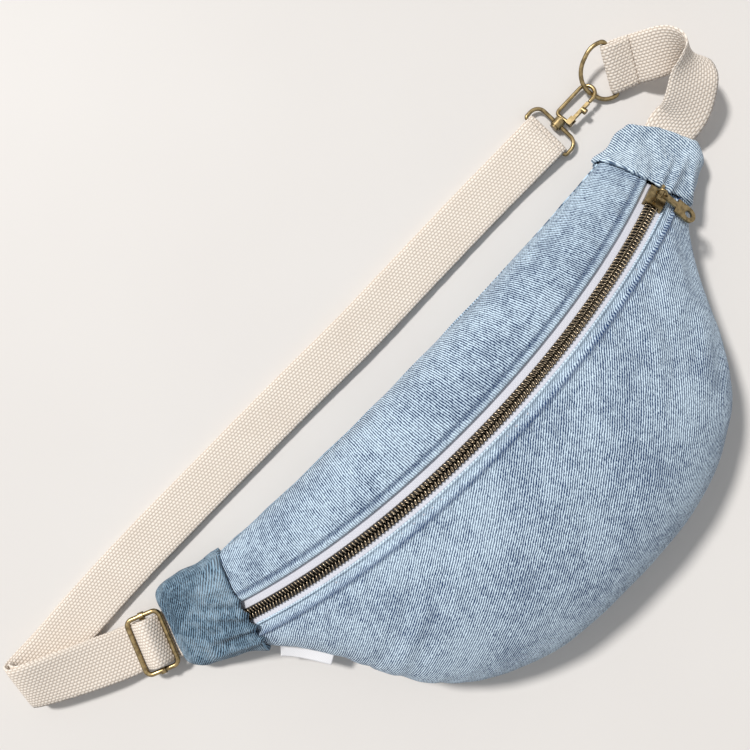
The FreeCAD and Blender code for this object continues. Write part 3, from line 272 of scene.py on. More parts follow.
def webbing(name, points, widths, node):
    """Flat strap with rounded selvedges and a UV map in cells of the weave."""
    centre, tangents, across = webbing_frames(points, widths)
    profile = []
    columns = 14
    for column in range(columns + 1):
        place = -1 + 2 * column / columns
        profile.append((HALF_WEBBING * place, HALF_THICKNESS * (1 - abs(place) ** 9 * 0.55)))
    ring = profile + [(flat, -high) for flat, high in reversed(profile)]
    vertices = []
    run = [0.0]
    for index, point in enumerate(centre):
        if index:
            run.append(run[-1] + (point - centre[index - 1]).length)
        normal = tangents[index].cross(across[index])
        ripple = 0.12 * noise.noise(Vector((run[-1] * 60, 0.3, 1.7)))
        for flat, high in ring:
            edge = 1 + 0.006 * math.sin(run[-1] * 2 * math.pi / 0.0021) * (abs(flat) > 12)
            vertices.append(point + across[index] * (flat * edge * MM) + normal * ((high + ripple) * MM))
    size = len(ring)
    faces = []
    for first in range(0, (len(centre) - 1) * size, size):
        for corner in range(size):
            follow = (corner + 1) % size
            faces.append((first + corner, first + follow, first + size + follow, first + size + corner))
    faces.append(tuple(range(size))[::-1])
    last = (len(centre) - 1) * size
    faces.append(tuple(last + corner for corner in range(size)))
    piece = built(name, vertices, faces)
    layer = piece.data.uv_layers.new(name="weave")
    for loop in piece.data.loops:
        flat = ring[loop.vertex_index % size][0]
        layer.data[loop.index].uv = ((flat + HALF_WEBBING) * MM, run[loop.vertex_index // size])
    seat(piece, node)
    if run[-1] > 0.15:
        tuple(centre[0])
        [tuple(point) for point in centre]
    return piece, (centre, tangents, across, run)


long_strap, _ = webbing("long_strap", *long_strap_route(), "strap_outer")
return_strap, return_frames = webbing("return_strap", *return_strap_route(), "strap_return")
short_strap, short_frames = webbing("short_loop_strap", *short_strap_route(), "short_strap")


# The pack's skin, the same sections as the frame's panels.
SAGITTA = math.hypot(ARC_RISE, ARC_DEPTH)
ZIP_RADIUS = (HALF_CHORD ** 2 + SAGITTA ** 2) / (2 * SAGITTA)
HALF_ANGLE = math.degrees(math.asin(HALF_CHORD / ZIP_RADIUS))
BULGE = Vector((0, -ARC_DEPTH / SAGITTA, ARC_RISE / SAGITTA))
ZIP_AXIS = Vector((1, 0, 0)).cross(BULGE)
ZIP_CENTRE = Vector((0, 49, 20.5)) - BULGE * (ZIP_RADIUS - SAGITTA)
CONE = math.atan2(ARC_DEPTH, ARC_RISE) + math.radians(5)
EDGE_LIFT = 1.9
LOWER_LIFT = 0.5


def zip_frame(angle):
    """Point on the zip's middle line with its directions: along, towards the top edge, outwards."""
    turn = Matrix.Rotation(math.radians(-angle), 3, ZIP_AXIS)
    along = turn @ Vector((1, 0, 0))
    bulge = turn @ BULGE
    down = ZIP_AXIS * math.cos(CONE) + bulge * math.sin(CONE)
    return ZIP_CENTRE + bulge * ZIP_RADIUS, along, -down, along.cross(-down)


def natural_spline(points):
    """Smooth function through points, by the distance along them."""
    points = np.array(points, float)
    steps = np.linalg.norm(np.diff(points, axis=0), axis=1)
    knots = np.concatenate(([0], np.cumsum(steps)))
    count = len(points)
    matrix = np.zeros((count, count))
    right = np.zeros((count, 2))
    matrix[0, 0] = matrix[-1, -1] = 1
    for row in range(1, count - 1):
        before, after = steps[row - 1], steps[row]
        matrix[row, row - 1 : row + 2] = before, 2 * (before + after), after
        right[row] = 6 * ((points[row + 1] - points[row]) / after - (points[row] - points[row - 1]) / before)
    bend = np.linalg.solve(matrix, right)

    def value(place):
        reach = place * knots[-1]
        row = int(min(max(np.searchsorted(knots, reach) - 1, 0), count - 2))
        step = steps[row]
        first = (knots[row + 1] - reach) / step
        second = 1 - first
        middle = first * points[row] + second * points[row + 1]
        return middle + ((first ** 3 - first) * bend[row] + (second ** 3 - second) * bend[row + 1]) * step ** 2 / 6

    return value


def lower_edge_curve():
    """Curve of the lower edge, seen from above."""
    shares = ((0.0, 1.0), (0.29, 0.972), (0.52, 0.855), (0.705, 0.62), (0.82, 0.31), (0.925, 0.1), (1.0, 0.0))
    right = [(153 * share, 35 - 109.2 * drop) for share, drop in shares]
    return natural_spline([(-x, y) for x, y in reversed(right[1:])] + right)


LOWER_CURVE = lower_edge_curve()


def seam_height(share):
    """Height of the edge seam."""
    return 22 - 7.5 * abs(share) ** 3


def top_edge(share):
    """Point of the top edge's seam."""
    return Vector((137 * share, 74.5 + 4.5 * share ** 2, seam_height(share)))


def lower_edge(share):
    """Point of the lower edge's seam."""
    x, y = LOWER_CURVE((share + 1) / 2)
    return Vector((x, y, seam_height(share)))


def smooth(value):
    """Ease from 0 to 1."""
    value = min(max(value, 0.0), 1.0)
    return value * value * (3 - 2 * value)


def bezier(points, place):
    """Point of a cubic curve."""
    rest = 1 - place
    start = points[0] * rest ** 3 + points[1] * (3 * rest ** 2 * place)
    return start + points[2] * (3 * rest * place ** 2) + points[3] * place ** 3


def upper_handles(share):
    """Section of the upper front panel, from the zip to the top edge."""
    base, along, up, out = zip_frame(share * HALF_ANGLE)
    edge = base + up * 7.2 + out * EDGE_LIFT
    top = top_edge(share) + Vector((0, 0, 0.15))
    span = math.hypot(edge.y - top.y, edge.x - top.x)
    return edge, edge + up * span * 0.62, top + Vector((0, 0, (edge.z - top.z) * 0.72)), top


def lower_handles(share):
    """Section of the lower front panel, from the zip to the lower edge."""
    base, along, up, out = zip_frame(share * HALF_ANGLE)
    edge = base - up * 6.0 + out * (EDGE_LIFT + LOWER_LIFT)
    low = lower_edge(share) + Vector((0, 0, 0.15))
    span = math.hypot(edge.y - low.y, edge.x - low.x)
    return edge, edge - up * span * 0.6, low + Vector((0, 0, (edge.z - low.z) * 0.72)), low


def back_point(share, place):
    """Back panel, from the lower edge to the top edge."""
    low = lower_edge(share) - Vector((0, 0, 0.15))
    top = top_edge(share) - Vector((0, 0, 0.15))
    floor = 3.45 * smooth((abs(share) - 0.78) / 0.17) - 0.25
    ends = ((low, top), (top, low))
    flat = []
    for first, second in ends:
        corner = first + (second - first) * 0.3
        corner.z = floor
        flat.append(corner)
    for (first, _), corner, near in zip(ends, flat, (place, 1 - place)):
        if near < 0.3:
            drop = Vector((0, 0, (first.z - floor) * 0.7))
            inner = corner + (first - corner) * 0.7
            inner.z = floor
            return bezier((first, first - drop, inner, corner), near / 0.3)
    return flat[0] + (flat[1] - flat[0]) * ((place - 0.3) / 0.4)


def cloth_grid(name, surface, columns, rows, reach, shape):
    """Cloth panel: a grid moved onto a surface, then out by shape(x, run, total, point)."""
    clear_selection()
    bpy.ops.mesh.primitive_grid_add(x_subdivisions=columns, y_subdivisions=rows, size=2, calc_uvs=True)
    piece = bpy.context.object
    piece.name = name
    mesh = piece.data
    mesh.name = name
    flat = np.zeros(len(mesh.vertices) * 3)
    mesh.vertices.foreach_get("co", flat)
    flat = flat.reshape(-1, 3)
    wide, deep = columns + 1, rows + 1
    order = np.lexsort((flat[:, 0].round(5), flat[:, 1].round(5)))
    grid = np.zeros((deep, wide, 3))
    for column in range(wide):
        share = reach * (2 * column / columns - 1)
        for row in range(deep):
            grid[row, column] = surface(share, row / rows)
    by_row = np.gradient(grid, axis=0)
    by_column = np.gradient(grid, axis=1)
    normals = np.cross(by_column, by_row)
    normals /= np.linalg.norm(normals, axis=2, keepdims=True) + 1e-9
    steps = np.linalg.norm(np.diff(grid, axis=0), axis=2)
    run = np.vstack((np.zeros((1, wide)), np.cumsum(steps, axis=0)))
    middle = wide // 2
    line = np.concatenate(([0], np.cumsum(np.linalg.norm(np.diff(grid, axis=1), axis=2).max(axis=0))))
    line -= line[middle]
    for row in range(deep):
        for column in range(wide):
            lift = shape(line[column], run[row, column], run[-1, column], grid[row, column])
            grid[row, column] += normals[row, column] * lift
    grid[:, :, 2] = np.maximum(grid[:, :, 2], 0.0)
    placed = np.zeros_like(flat)
    placed[order] = grid.reshape(-1, 3) * MM
    mesh.vertices.foreach_set("co", placed.reshape(-1))
    spread = np.zeros((len(flat), 2))
    spread[order] = np.stack((np.broadcast_to(line, run.shape), run), axis=2).reshape(-1, 2) * MM
    corners = np.zeros(len(mesh.loops), int)
    mesh.loops.foreach_get("vertex_index", corners)
    mesh.uv_layers[0].name = "cloth"
    mesh.uv_layers[0].data.foreach_set("uv", spread[corners].reshape(-1))
    mesh.update()
    take_up(piece)
    return piece


def thicken(piece, thickness, offset=-1):
    """Give a sheet its thickness and smooth shading."""
    take_up(piece)
    wall = piece.modifiers.new("wall", "SOLIDIFY")
    wall.thickness = thickness * MM
    wall.offset = offset
    wall.use_even_offset = True
    bpy.ops.object.modifier_apply(modifier=wall.name)
    bpy.ops.object.shade_smooth()


def wave(x, y, z, scale):
    """Smooth noise between -1 and 1."""
    return noise.noise(Vector((x, y, z)) / scale)


def bump(value, middle, width):
    """Soft ridge."""
    return math.exp(-(((value - middle) / width) ** 2))


def lower_shape(x, run, total, point):
    """Folded hem with its stitching along the zip, puckers, and slack towards the lower edge."""
    hem = 1.55 * smooth((run - 0.1) / 1.0) * (1 - smooth((run - 4.1) / 1.3))
    groove = -0.8 * bump(run, 5.4, 0.75)
    phase = 3.2 * wave(x, 0, 4, 24)
    pucker = math.sin(x * 2 * math.pi / 7.6 + phase + run * 0.35) * (0.6 + 0.5 * wave(x, 9, 0, 40))
    near = 0.62 * pucker * (bump(run, 6.8, 2.8) + 0.6 * bump(run, 2.6, 1.9))
    slack = 1.0 * (wave(x, run, 0, 42) + 0.5 * wave(x, run, 7, 19)) * smooth((run - 6) / 18)
    drawn = smooth((abs(x) - 55) / 60) * smooth((run - 5) / 9)
    slant = 1.25 * wave(x * 0.5 + run * 0.75, (run - x * 0.5) * 0.22, 3, 9) * drawn
    seam = -0.55 * bump(total - run, 0, 2.2)
    return max(hem + groove + near + slack + slant + seam, -0.8 if run < 9 else -0.42)


def upper_shape(x, run, total, point):
    """Turned edge along the zip with a shallow stitched line, and broad slack."""
    edge = 0.6 * smooth((run - 0.05) / 0.9) * (1 - smooth((run - 2.4) / 1.4))
    groove = -0.4 * bump(run, 3.8, 0.75)
    pucker = math.sin(x * 2 * math.pi / 10 + 3 * wave(x, 2, 4, 30))
    near = 0.36 * pucker * bump(run, 5.6, 3.0)
    slack = 0.8 * (wave(x, run, 12, 38) + 0.5 * wave(x, run, 5, 17)) * smooth((run - 5) / 14)
    drawn = smooth((abs(x) - 75) / 50) * smooth((run - 4) / 8)
    slant = 0.6 * wave(x * 0.6 - run * 0.7, (run + x * 0.4) * 0.25, 21, 8) * drawn
    seam = -0.5 * bump(total - run, 0, 2.2)
    return max(edge + groove + near + slack + slant + seam, -0.4)


def plain(x, run, total, point):
    """No shape of its own."""
    return 0.0


def back_shape(x, run, total, point):
    """Slack only where the back is off the table."""
    lift = smooth((point[2] - 1.5) / 5)
    return 0.5 * lift * wave(x, run, 30, 22) - 0.4 * (bump(run, 0, 2) + bump(total - run, 0, 2))


def make_panels():
    """Upper and lower front panels and the back."""
    made = []
    lower = cloth_grid("lower_front", lambda s, t: bezier(lower_handles(s), t ** 1.25), 330, 100, 1.0, lower_shape)
    upper = cloth_grid("upper_front", lambda s, t: bezier(upper_handles(s), t ** 1.15), 300, 60, 1.0, upper_shape)
    back = cloth_grid("back_of_pack", back_point, 150, 72, 1.0, back_shape)
    for piece, node in ((lower, "front_lower_panel"), (upper, "front_upper_panel"), (back, "back_panel")):
        take_up(piece)
        inward = 0.0
        for index in range(0, len(piece.data.polygons), 61):
            polygon = piece.data.polygons[index]
            inward += (polygon.center - Vector((0, 0.005, 0.018))).dot(polygon.normal)
        if inward < 0:
            edit_all(bpy.ops.mesh.flip_normals)
        thicken(piece, PANEL_THICKNESS)
        seat(piece, node)
        made.append(piece)
    return made


def make_lining():
    """Cotton lining inside the panels."""
    made = []

    def inside(handles, low, high):
        def surface(share, place):
            at = low + (high - low) * place
            section = handles(share)
            point = bezier(section, at)
            ahead = bezier(section, min(at + 0.01, 1)) - bezier(section, max(at - 0.01, 0))
            side = bezier(handles(min(share + 0.01, 1)), at) - bezier(handles(max(share - 0.01, -1)), at)
            return point - upwards(side.cross(ahead).normalized()) * LINING_GAP
        return surface

    def inside_back(share, place):
        point = back_point(share, 0.04 + 0.92 * place)
        ahead = back_point(share, 0.05 + 0.92 * place) - back_point(share, 0.03 + 0.92 * place)
        side = back_point(min(share + 0.01, 1), 0.04 + 0.92 * place) - point
        return point + upwards(side.cross(ahead).normalized()) * LINING_GAP

    for name, surface, rows, node in (
        ("lining_lower_front", inside(lower_handles, 0.16, 0.95), 26, "lining_lower"),
        ("lining_upper_front", inside(upper_handles, 0.2, 0.94), 16, "lining_upper"),
        ("lining_of_back", inside_back, 30, "lining_back"),
    ):
        piece = cloth_grid(name, surface, 70, rows, 0.86, plain)
        thicken(piece, 0.4, 0)
        seat(piece, node)
        made.append(piece)
    return made


panels = make_panels()
linings = make_lining()


# End tabs: the folded denim sleeves, creased where they are gathered.
def make_tab(name, node, side, creases, pushes):
    """Sleeve taken from the frame's tab, remeshed finely, its edges pushed out or drawn in, and creased by folds."""
    mesh = nodes[node].data.copy()
    mesh.materials.clear()
    piece = new_piece(name, mesh)
    edit_all(lambda: bpy.ops.mesh.remove_doubles(threshold=0.00002), face_out)
    even = piece.modifiers.new("even", "REMESH")
    even.mode = "VOXEL"
    even.voxel_size = 0.0007
    bpy.ops.object.modifier_apply(modifier=even.name)
    calm = piece.modifiers.new("calm", "SMOOTH")
    calm.factor = 0.6
    calm.iterations = 3
    bpy.ops.object.modifier_apply(modifier=calm.name)
    mesh = piece.data
    out = Vector((side * math.cos(STRAP_SLOPE), math.sin(STRAP_SLOPE), 0))
    across = mouth_width(side)
    base = mouth_point(side, 0, 9)
    moved = []
    for vertex in mesh.vertices:
        point = vertex.co / MM
        local = point - base
        along = local.dot(out)
        wide = local.dot(across)
        lift = 0.0
        top = smooth((vertex.normal.z + 0.15) / 0.5)
        for start, end, height, width in creases:
            first = Vector(start)
            step = Vector(end) - first
            here = Vector((along, wide)) - first
            share = min(max(here.dot(step) / step.length_squared, 0), 1)
            gap = (here - step * share).length
            lift += height * bump(gap, 0, width) * (1 - 0.7 * share ** 2)
        lift *= top
        lift += 0.34 * wave(along, wide * 0.7, point.z, 8) + 0.18 * wave(along * 0.6, wide * 1.4, point.z, 4)
        shift = vertex.normal * max(lift, -0.6)
        for place, reach, amount in pushes:
            gap = math.dist((along, wide), place)
            weight = bump(gap, 0, reach)
            shift += out * (amount[0] * weight) + across * (amount[1] * weight)
        moved.append(vertex.co + shift * MM)
    for vertex, place in zip(mesh.vertices, moved):
        vertex.co = place
    layer = mesh.uv_layers.new(name="cloth")
    for loop in mesh.loops:
        local = mesh.vertices[loop.vertex_index].co - base * MM
        wide = local.dot(across)
        fall = smooth((abs(wide) / MM - 4) / 16) * (11 * MM - local.z)
        along = local.dot(out)
        along += smooth((along / MM + 3) / 3) * (6.5 * MM - local.z)
        layer.data[loop.index].uv = (along, wide + math.copysign(fall, wide))
    bpy.ops.object.shade_smooth()
    seat(piece, node)
    return piece


LEFT_CREASES = (
    ((-44, -15), (-14, -17), 3.0, 1.8),
    ((-45, -8.5), (-12, -9), 3.0, 1.7),
    ((-46, -11.8), (-14, -13), -2.0, 1.2),
    ((-43, -3), (-16, 3), 2.4, 1.9),
    ((-42, 5), (-18, 10), 1.7, 2.1),
    ((-30, 13), (-6, 15), 1.4, 2.4),
    ((-14, -13), (-3, -3), 1.6, 1.8),
    ((-20, -3), (-5, 6), 1.2, 1.9),
)
RIGHT_CREASES = (
    ((-41, -6), (-12, -12), 2.4, 2.1),
    ((-42, -1), (-18, -4), 1.7, 1.8),
    ((-42, -3.6), (-20, -7), -1.2, 1.3),
    ((-40, 6), (-20, 8), 1.1, 2.4),
    ((-36, 12), (-12, 13), 1.0, 2.6),
    ((-32, -18), (-10, -15), 1.2, 2.0),
    ((-18, 1), (-6, 7), 0.9, 2.4),
)
LEFT_PUSHES = (
    ((-1, 17), 8, (2.0, 4.4)), ((-12, 20), 10, (0, 5.5)), ((-37, 30), 6, (0, -1.6)), ((-1, -17), 8, (-1.2, 0)),
)
RIGHT_PUSHES = (((-13, 20), 8, (0, 4.8)), ((0, 17), 8, (-4.2, -1.6)))
left_tab = make_tab("left_end_tab", "left_tab", -1, LEFT_CREASES, LEFT_PUSHES)
right_tab = make_tab("right_end_tab", "right_tab", 1, RIGHT_CREASES, RIGHT_PUSHES)


# Zip: woven tapes and wire coils.
def make_tape(name, node, side):
    """One woven tape along the zip's arc."""
    def surface(share, place):
        base, along, up, out = zip_frame(share * (HALF_ANGLE - 0.3))
        return base + up * (side * (1.3 + 7.2 * place)) + out * 0.3

    piece = cloth_grid(name, surface, 240, 10, 1.0, lambda x, run, total, point: 0.05 * wave(x, run, 0, 6))
    thicken(piece, 0.6, 0)
    seat(piece, node)
    return piece


def one_loop():
    """One turn of the coil: a wire ring, wide across the tape, leaning along the chain."""
    clear_selection()
    bpy.ops.mesh.primitive_torus_add(
        major_segments=14, minor_segments=6, major_radius=1.0, minor_radius=0.34,
        abso_major_rad=1.0, generate_uvs=False,
    )
    ring = bpy.context.object
    points = []
    for vertex in ring.data.vertices:
        x, y, z = vertex.co
        far = math.hypot(x, y) - 1.0
        turn = math.atan2(y, x)
        across = math.cos(turn) * (1.36 + far)
        high = math.sin(turn) * (0.66 + far)
        lean = 0.45 * math.sin(turn) - 0.42 * math.cos(turn) + z
        points.append(Vector((lean, across, high)))
    faces = [tuple(polygon.vertices) for polygon in ring.data.polygons]
    bpy.data.objects.remove(ring)
    return points, faces


def make_coil(name, node, side):
    """One half of the chain: turns of wire side by side along the tape."""
    shape, loop_faces = one_loop()
    pitch = math.degrees(COIL_PITCH / ZIP_RADIUS)
    low, high = CHAIN_ENDS
    count = int((high - low) / pitch)
    vertices = []
    faces = []
    for index in range(count):
        angle = low + pitch * (index + (0.25 if side > 0 else 0.75))
        base, along, up, out = zip_frame(angle)
        first = len(vertices)
        for point in shape:
            vertices.append((base + along * point.x + up * (side * (1.52 + point.y)) + out * (1.5 + point.z)) * MM)
        faces += [tuple(first + corner for corner in face) for face in loop_faces]
    piece = built(name, vertices, faces)
    seat(piece, node)
    return piece


tapes = [make_tape("tape_towards_top", "zip_tape_upper", 1), make_tape("tape_towards_foot", "zip_tape_lower", -1)]
coils = [make_coil("wire_coil_top", "coil_upper", 1), make_coil("wire_coil_foot", "coil_lower", -1)]


# Stitching: one thread stitch, copied along each seam.
def one_stitch(length, radius):
    """A short thread stitch, dipping into the cloth at both ends."""
    clear_selection()
    bpy.ops.mesh.primitive_uv_sphere_add(segments=6, ring_count=5, radius=1)
    ball = bpy.context.object
    points = []
    for vertex in ball.data.vertices:
        x, y, z = vertex.co
        along = z * length / 2
        points.append(Vector((along, x * radius, y * radius - 0.5 * radius * z * z)))
    faces = [tuple(polygon.vertices) for polygon in ball.data.polygons]
    bpy.data.objects.remove(ball)
    return points, faces


def stitch_line(name, line, normals, gap=3.0, length=2.1, radius=0.22, slot="webbing"):
    """Row of stitches along a line of points with surface normals, in millimetres."""
    shape, stitch_faces = one_stitch(length, radius)
    vertices = []
    faces = []
    reach = 0.0
    wanted = gap / 2
    for index in range(len(line) - 1):
        step = line[index + 1] - line[index]
        while reach + step.length > wanted:
            point = line[index] + step * ((wanted - reach) / step.length)
            along = step.normalized()
            out = square_on(normals[index], along)
            side = out.cross(along)
            first = len(vertices)
            for place in shape:
                vertices.append((point + along * place.x + side * place.y + out * place.z) * MM)
            faces += [tuple(first + corner for corner in face) for face in stitch_faces]
            wanted += gap
        reach += step.length
    piece = built(name, vertices, faces)
    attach(piece, "pack")
    return piece


def curve_length(section, place, parts):
    """Length of a cubic curve up to a place on it."""
    marks = [bezier(section, place * part / parts) for part in range(parts + 1)]
    return sum((after - before).length for before, after in zip(marks, marks[1:]))


def hem_line(handles, distance, lift, reach):
    """Line on a front panel at a distance from its zip edge."""
    line = []
    normals = []
    for step in range(241):
        share = reach * (2 * step / 240 - 1)
        section = handles(share)
        place = distance / curve_length(section, 1, 30)
        for _ in range(3):
            place *= distance / max(curve_length(section, place, 8), 1e-6)
        point = bezier(section, place)
        ahead = bezier(section, place + 0.01) - bezier(section, max(place - 0.01, 0))
        normal = upwards(Vector((1, 0, 0)).cross(ahead).normalized())
        line.append(point + normal * lift)
        normals.append(normal)
    return line, normals


def strap_stitches(name, frames, start, end, face):
    """Box of stitching through a strap, between two distances along it."""
    centre, tangents, across, run = frames
    chosen = [index for index, reach in enumerate(run) if start <= reach <= end]
    line = []
    normals = []
    for order, flat in ((chosen, -10.5), (chosen[::-1], 10.5), (chosen[:1], -10.5)):
        for index in order:
            normal = tangents[index].cross(across[index]) * face
            line.append(centre[index] / MM + across[index] * flat + normal * 0.98)
            normals.append(normal)
    return stitch_line(name, line, normals, gap=2.6, length=1.9, radius=0.22)


lower_hem = hem_line(lower_handles, 5.35, -0.3, 0.965)
upper_hem = hem_line(upper_handles, 3.8, -0.1, 0.965)
short_end = short_frames[3][-1]
threads = [
    stitch_line("hem_stitching_foot", *lower_hem, gap=3.1, length=2.2, radius=0.24, slot="denim"),
    stitch_line("hem_stitching_top", *upper_hem, gap=3.1, length=2.0, radius=0.17, slot="denim"),
    strap_stitches("short_strap_stitching", short_frames, short_end - 0.0085, short_end - 0.0012, 1),
    strap_stitches("hook_end_stitching", return_frames, 0.0065, 0.0145, -1),
]


def side_label():
    """Blank satin ribbon folded in half and caught in the side seam."""
    def surface(share, place):
        at = -0.935 + (0.935 - 0.80) * (share + 1) / 2
        point = lower_edge(at)
        along = lower_edge(at + 0.004) - lower_edge(at - 0.004)
        out = Vector((along.y, -along.x, 0)).normalized()
        curl = -3.0 * place + 0.8 * math.sin(share * 2.2) * place
        return point + out * (0.35 + 6.9 * place) + Vector((0, 0, curl))

    piece = cloth_grid("blank_side_label", surface, 40, 12, 1.0, plain)
    thicken(piece, 0.55, 0)
    seat(piece, "side_tag")
    return piece


label = side_label()


# Shader groups shared by the materials.
def srgb(red, green, blue):
    """Colour as it is seen, turned into the linear value that a socket takes."""
    def linear(value):
        return value / 12.92 if value <= 0.04045 else ((value + 0.055) / 1.055) ** 2.4
    return linear(red), linear(green), linear(blue), 1.0


def math_node(tree, operation, first, second=None, third=None):
    """Math node fed by sockets or numbers."""
    node = tree.nodes.new("ShaderNodeMath")
    node.operation = operation
    for index, value in enumerate((first, second, third)):
        if value is None:
            continue
        if isinstance(value, (int, float)):
            node.inputs[index].default_value = value
        else:
            tree.links.new(value, node.inputs[index])
    return node.outputs[0]


def sums(tree):
    """Multiplying and adding nodes of one tree."""
    return partial(math_node, tree, "MULTIPLY"), partial(math_node, tree, "ADD")


def swing(tree, turns):
    """Wave between 0 and 1, once a turn."""
    sine = math_node(tree, "SINE", math_node(tree, "MULTIPLY", turns, 2 * math.pi))
    return math_node(tree, "MULTIPLY_ADD", sine, 0.5, 0.5)


def settle(node, **values):
    """Set a node's inputs by name."""
    for label, value in values.items():
        node.inputs[label.replace("_", " ")].default_value = value


def noise_node(tree, vector, scale, detail=2.0, roughness=0.5):
    """Noise between 0 and 1 on a vector."""
    node = tree.nodes.new("ShaderNodeTexNoise")
    settle(node, Scale=scale, Detail=detail, Roughness=roughness)
    tree.links.new(vector, node.inputs["Vector"])
    return node.outputs["Fac"]


def ramp(tree, value, start, end, low, high):
    """Value led from one range into another and held at its ends."""
    node = tree.nodes.new("ShaderNodeMapRange")
    settle(node, From_Min=start, From_Max=end, To_Min=low, To_Max=high)
    tree.links.new(value, node.inputs["Value"])
    return node.outputs[0]


def new_group(name, values, outputs):
    """Shader group from a vector and numbers to masks; returns it, its vector and its two end nodes."""
    group = bpy.data.node_groups.new(name, "ShaderNodeTree")
    group.interface.new_socket(name="Vector", in_out="INPUT", socket_type="NodeSocketVector")
    for label, value in values.items():
        socket = group.interface.new_socket(name=label, in_out="INPUT", socket_type="NodeSocketFloat")
        socket.default_value = value
    for label in outputs:
        group.interface.new_socket(name=label, in_out="OUTPUT", socket_type="NodeSocketFloat")
    start = group.nodes.new("NodeGroupInput")
    return group, start.outputs["Vector"], start, group.nodes.new("NodeGroupOutput")


def twill_group():
    """Denim twill: slanting ribs broken into yarns, with slubs and washed-out patches."""
    group, where, start, end = new_group(
        "Twill cloth", {"Rib Pitch": RIB_PITCH, "Slant": 0.8}, ("Rib", "Mottle", "Height"),
    )
    times, plus = sums(group)
    turn = group.nodes.new("ShaderNodeVectorRotate")
    turn.rotation_type = "Z_AXIS"
    group.links.new(where, turn.inputs["Vector"])
    group.links.new(start.outputs["Slant"], turn.inputs["Angle"])
    parts = group.nodes.new("ShaderNodeSeparateXYZ")
    group.links.new(turn.outputs[0], parts.inputs[0])
    waver = noise_node(group, where, 160, 2)
    drift = times(math_node(group, "SUBTRACT", waver, 0.5), 0.0011)
    turns = math_node(group, "DIVIDE", plus(parts.outputs[1], drift), start.outputs["Rib Pitch"])
    rib = swing(group, turns)
    steps = math_node(group, "DIVIDE", parts.outputs[0], start.outputs["Rib Pitch"])
    yarn = swing(group, plus(times(steps, 0.62), times(turns, 0.5)))
    cloth = times(rib, math_node(group, "MULTIPLY_ADD", yarn, 0.5, 0.68))
    slub = math_node(group, "MULTIPLY_ADD", noise_node(group, where, 640, 3, 0.7), 3.6, -1.84)
    mixed = group.nodes.new("ShaderNodeClamp")
    group.links.new(plus(math_node(group, "MULTIPLY_ADD", cloth, 1.95, -0.3), slub), mixed.inputs[0])
    group.links.new(mixed.outputs[0], end.inputs["Rib"])
    patches = noise_node(group, where, 26, 5, 0.62)
    fine = noise_node(group, where, 210, 4, 0.65)
    group.links.new(plus(times(patches, 0.6), times(fine, 0.4)), end.inputs["Mottle"])
    group.links.new(plus(times(cloth, 0.8), times(slub, 0.22)), end.inputs["Height"])
    return group


def basket_group():
    """Webbing and tape weave: rows of short yarn grains, each row set half a grain on."""
    group, where, start, end = new_group(
        "Basket weave", {"Row Width": 0.0018, "Grain Length": 0.0022}, ("Grain", "Shade", "Height"),
    )
    times, plus = sums(group)

    def hump(value):
        return math_node(group, "ABSOLUTE", math_node(group, "SINE", times(value, math.pi)))

    parts = group.nodes.new("ShaderNodeSeparateXYZ")
    group.links.new(where, parts.inputs[0])
    drift = times(math_node(group, "SUBTRACT", noise_node(group, where, 300, 2), 0.5), 0.0007)
    row = math_node(group, "DIVIDE", plus(parts.outputs[0], drift), start.outputs["Row Width"])
    step = math_node(group, "DIVIDE", parts.outputs[1], start.outputs["Grain Length"])
    shift = times(math_node(group, "FLOOR", row), 0.5)
    grain = math_node(group, "POWER", times(hump(row), hump(plus(step, shift))), 0.6)
    fibre = noise_node(group, where, 1500, 3, 0.6)
    group.links.new(grain, end.inputs["Grain"])
    group.links.new(noise_node(group, where, 40, 4, 0.6), end.inputs["Shade"])
    group.links.new(plus(grain, times(fibre, 0.25)), end.inputs["Height"])
    return group


def patina_group():
    """Old brass: dark tarnish in patches with rubbed, brighter places."""
    group, where, start, end = new_group("Brass patina", {"Size": 1.0}, ("Tarnish", "Scratches", "Height"))
    times, plus = sums(group)
    scaled = group.nodes.new("ShaderNodeVectorMath")
    scaled.operation = "SCALE"
    group.links.new(where, scaled.inputs[0])
    group.links.new(start.outputs["Size"], scaled.inputs["Scale"])
    spots = noise_node(group, scaled.outputs[0], 420, 5, 0.65)
    fine = noise_node(group, scaled.outputs[0], 2600, 3, 0.6)
    group.links.new(ramp(group, spots, 0.42, 0.62, 0.0, 1.0), end.inputs["Tarnish"])
    group.links.new(fine, end.inputs["Scratches"])
    group.links.new(plus(spots, times(fine, 0.3)), end.inputs["Height"])
    return group


TWILL = twill_group()
BASKET = basket_group()
PATINA = patina_group()


def new_material(name):
    """Material with only its Principled shader and output."""
    material = bpy.data.materials.new(name)
    material.use_nodes = True
    tree = material.node_tree
    tree.nodes.clear()
    shader = tree.nodes.new("ShaderNodeBsdfPrincipled")
    out = tree.nodes.new("ShaderNodeOutputMaterial")
    tree.links.new(shader.outputs[0], out.inputs[0])
    return material, tree, shader


def place_group(tree, group, vector, **values):
    """Put a shared group in a material."""
    node = tree.nodes.new("ShaderNodeGroup")
    node.node_tree = group
    tree.links.new(vector, node.inputs["Vector"])
    settle(node, **values)
    return node


def colour_mix(tree, factor, first, second):
    """Mix of two colours, each a socket or a plain colour."""
    node = tree.nodes.new("ShaderNodeMix")
    node.data_type = "RGBA"
    tree.links.new(factor, node.inputs[0])
    for socket, value in ((node.inputs[6], first), (node.inputs[7], second)):
        if isinstance(value, tuple):
            socket.default_value = value
        else:
            tree.links.new(value, socket)
    return node.outputs[2]


def relief(tree, shader, height, distance, strength=1.0):
    """Bump from a height."""
    node = tree.nodes.new("ShaderNodeBump")
    settle(node, Distance=distance, Strength=strength)
    tree.links.new(height, node.inputs["Height"])
    tree.links.new(node.outputs[0], shader.inputs["Normal"])


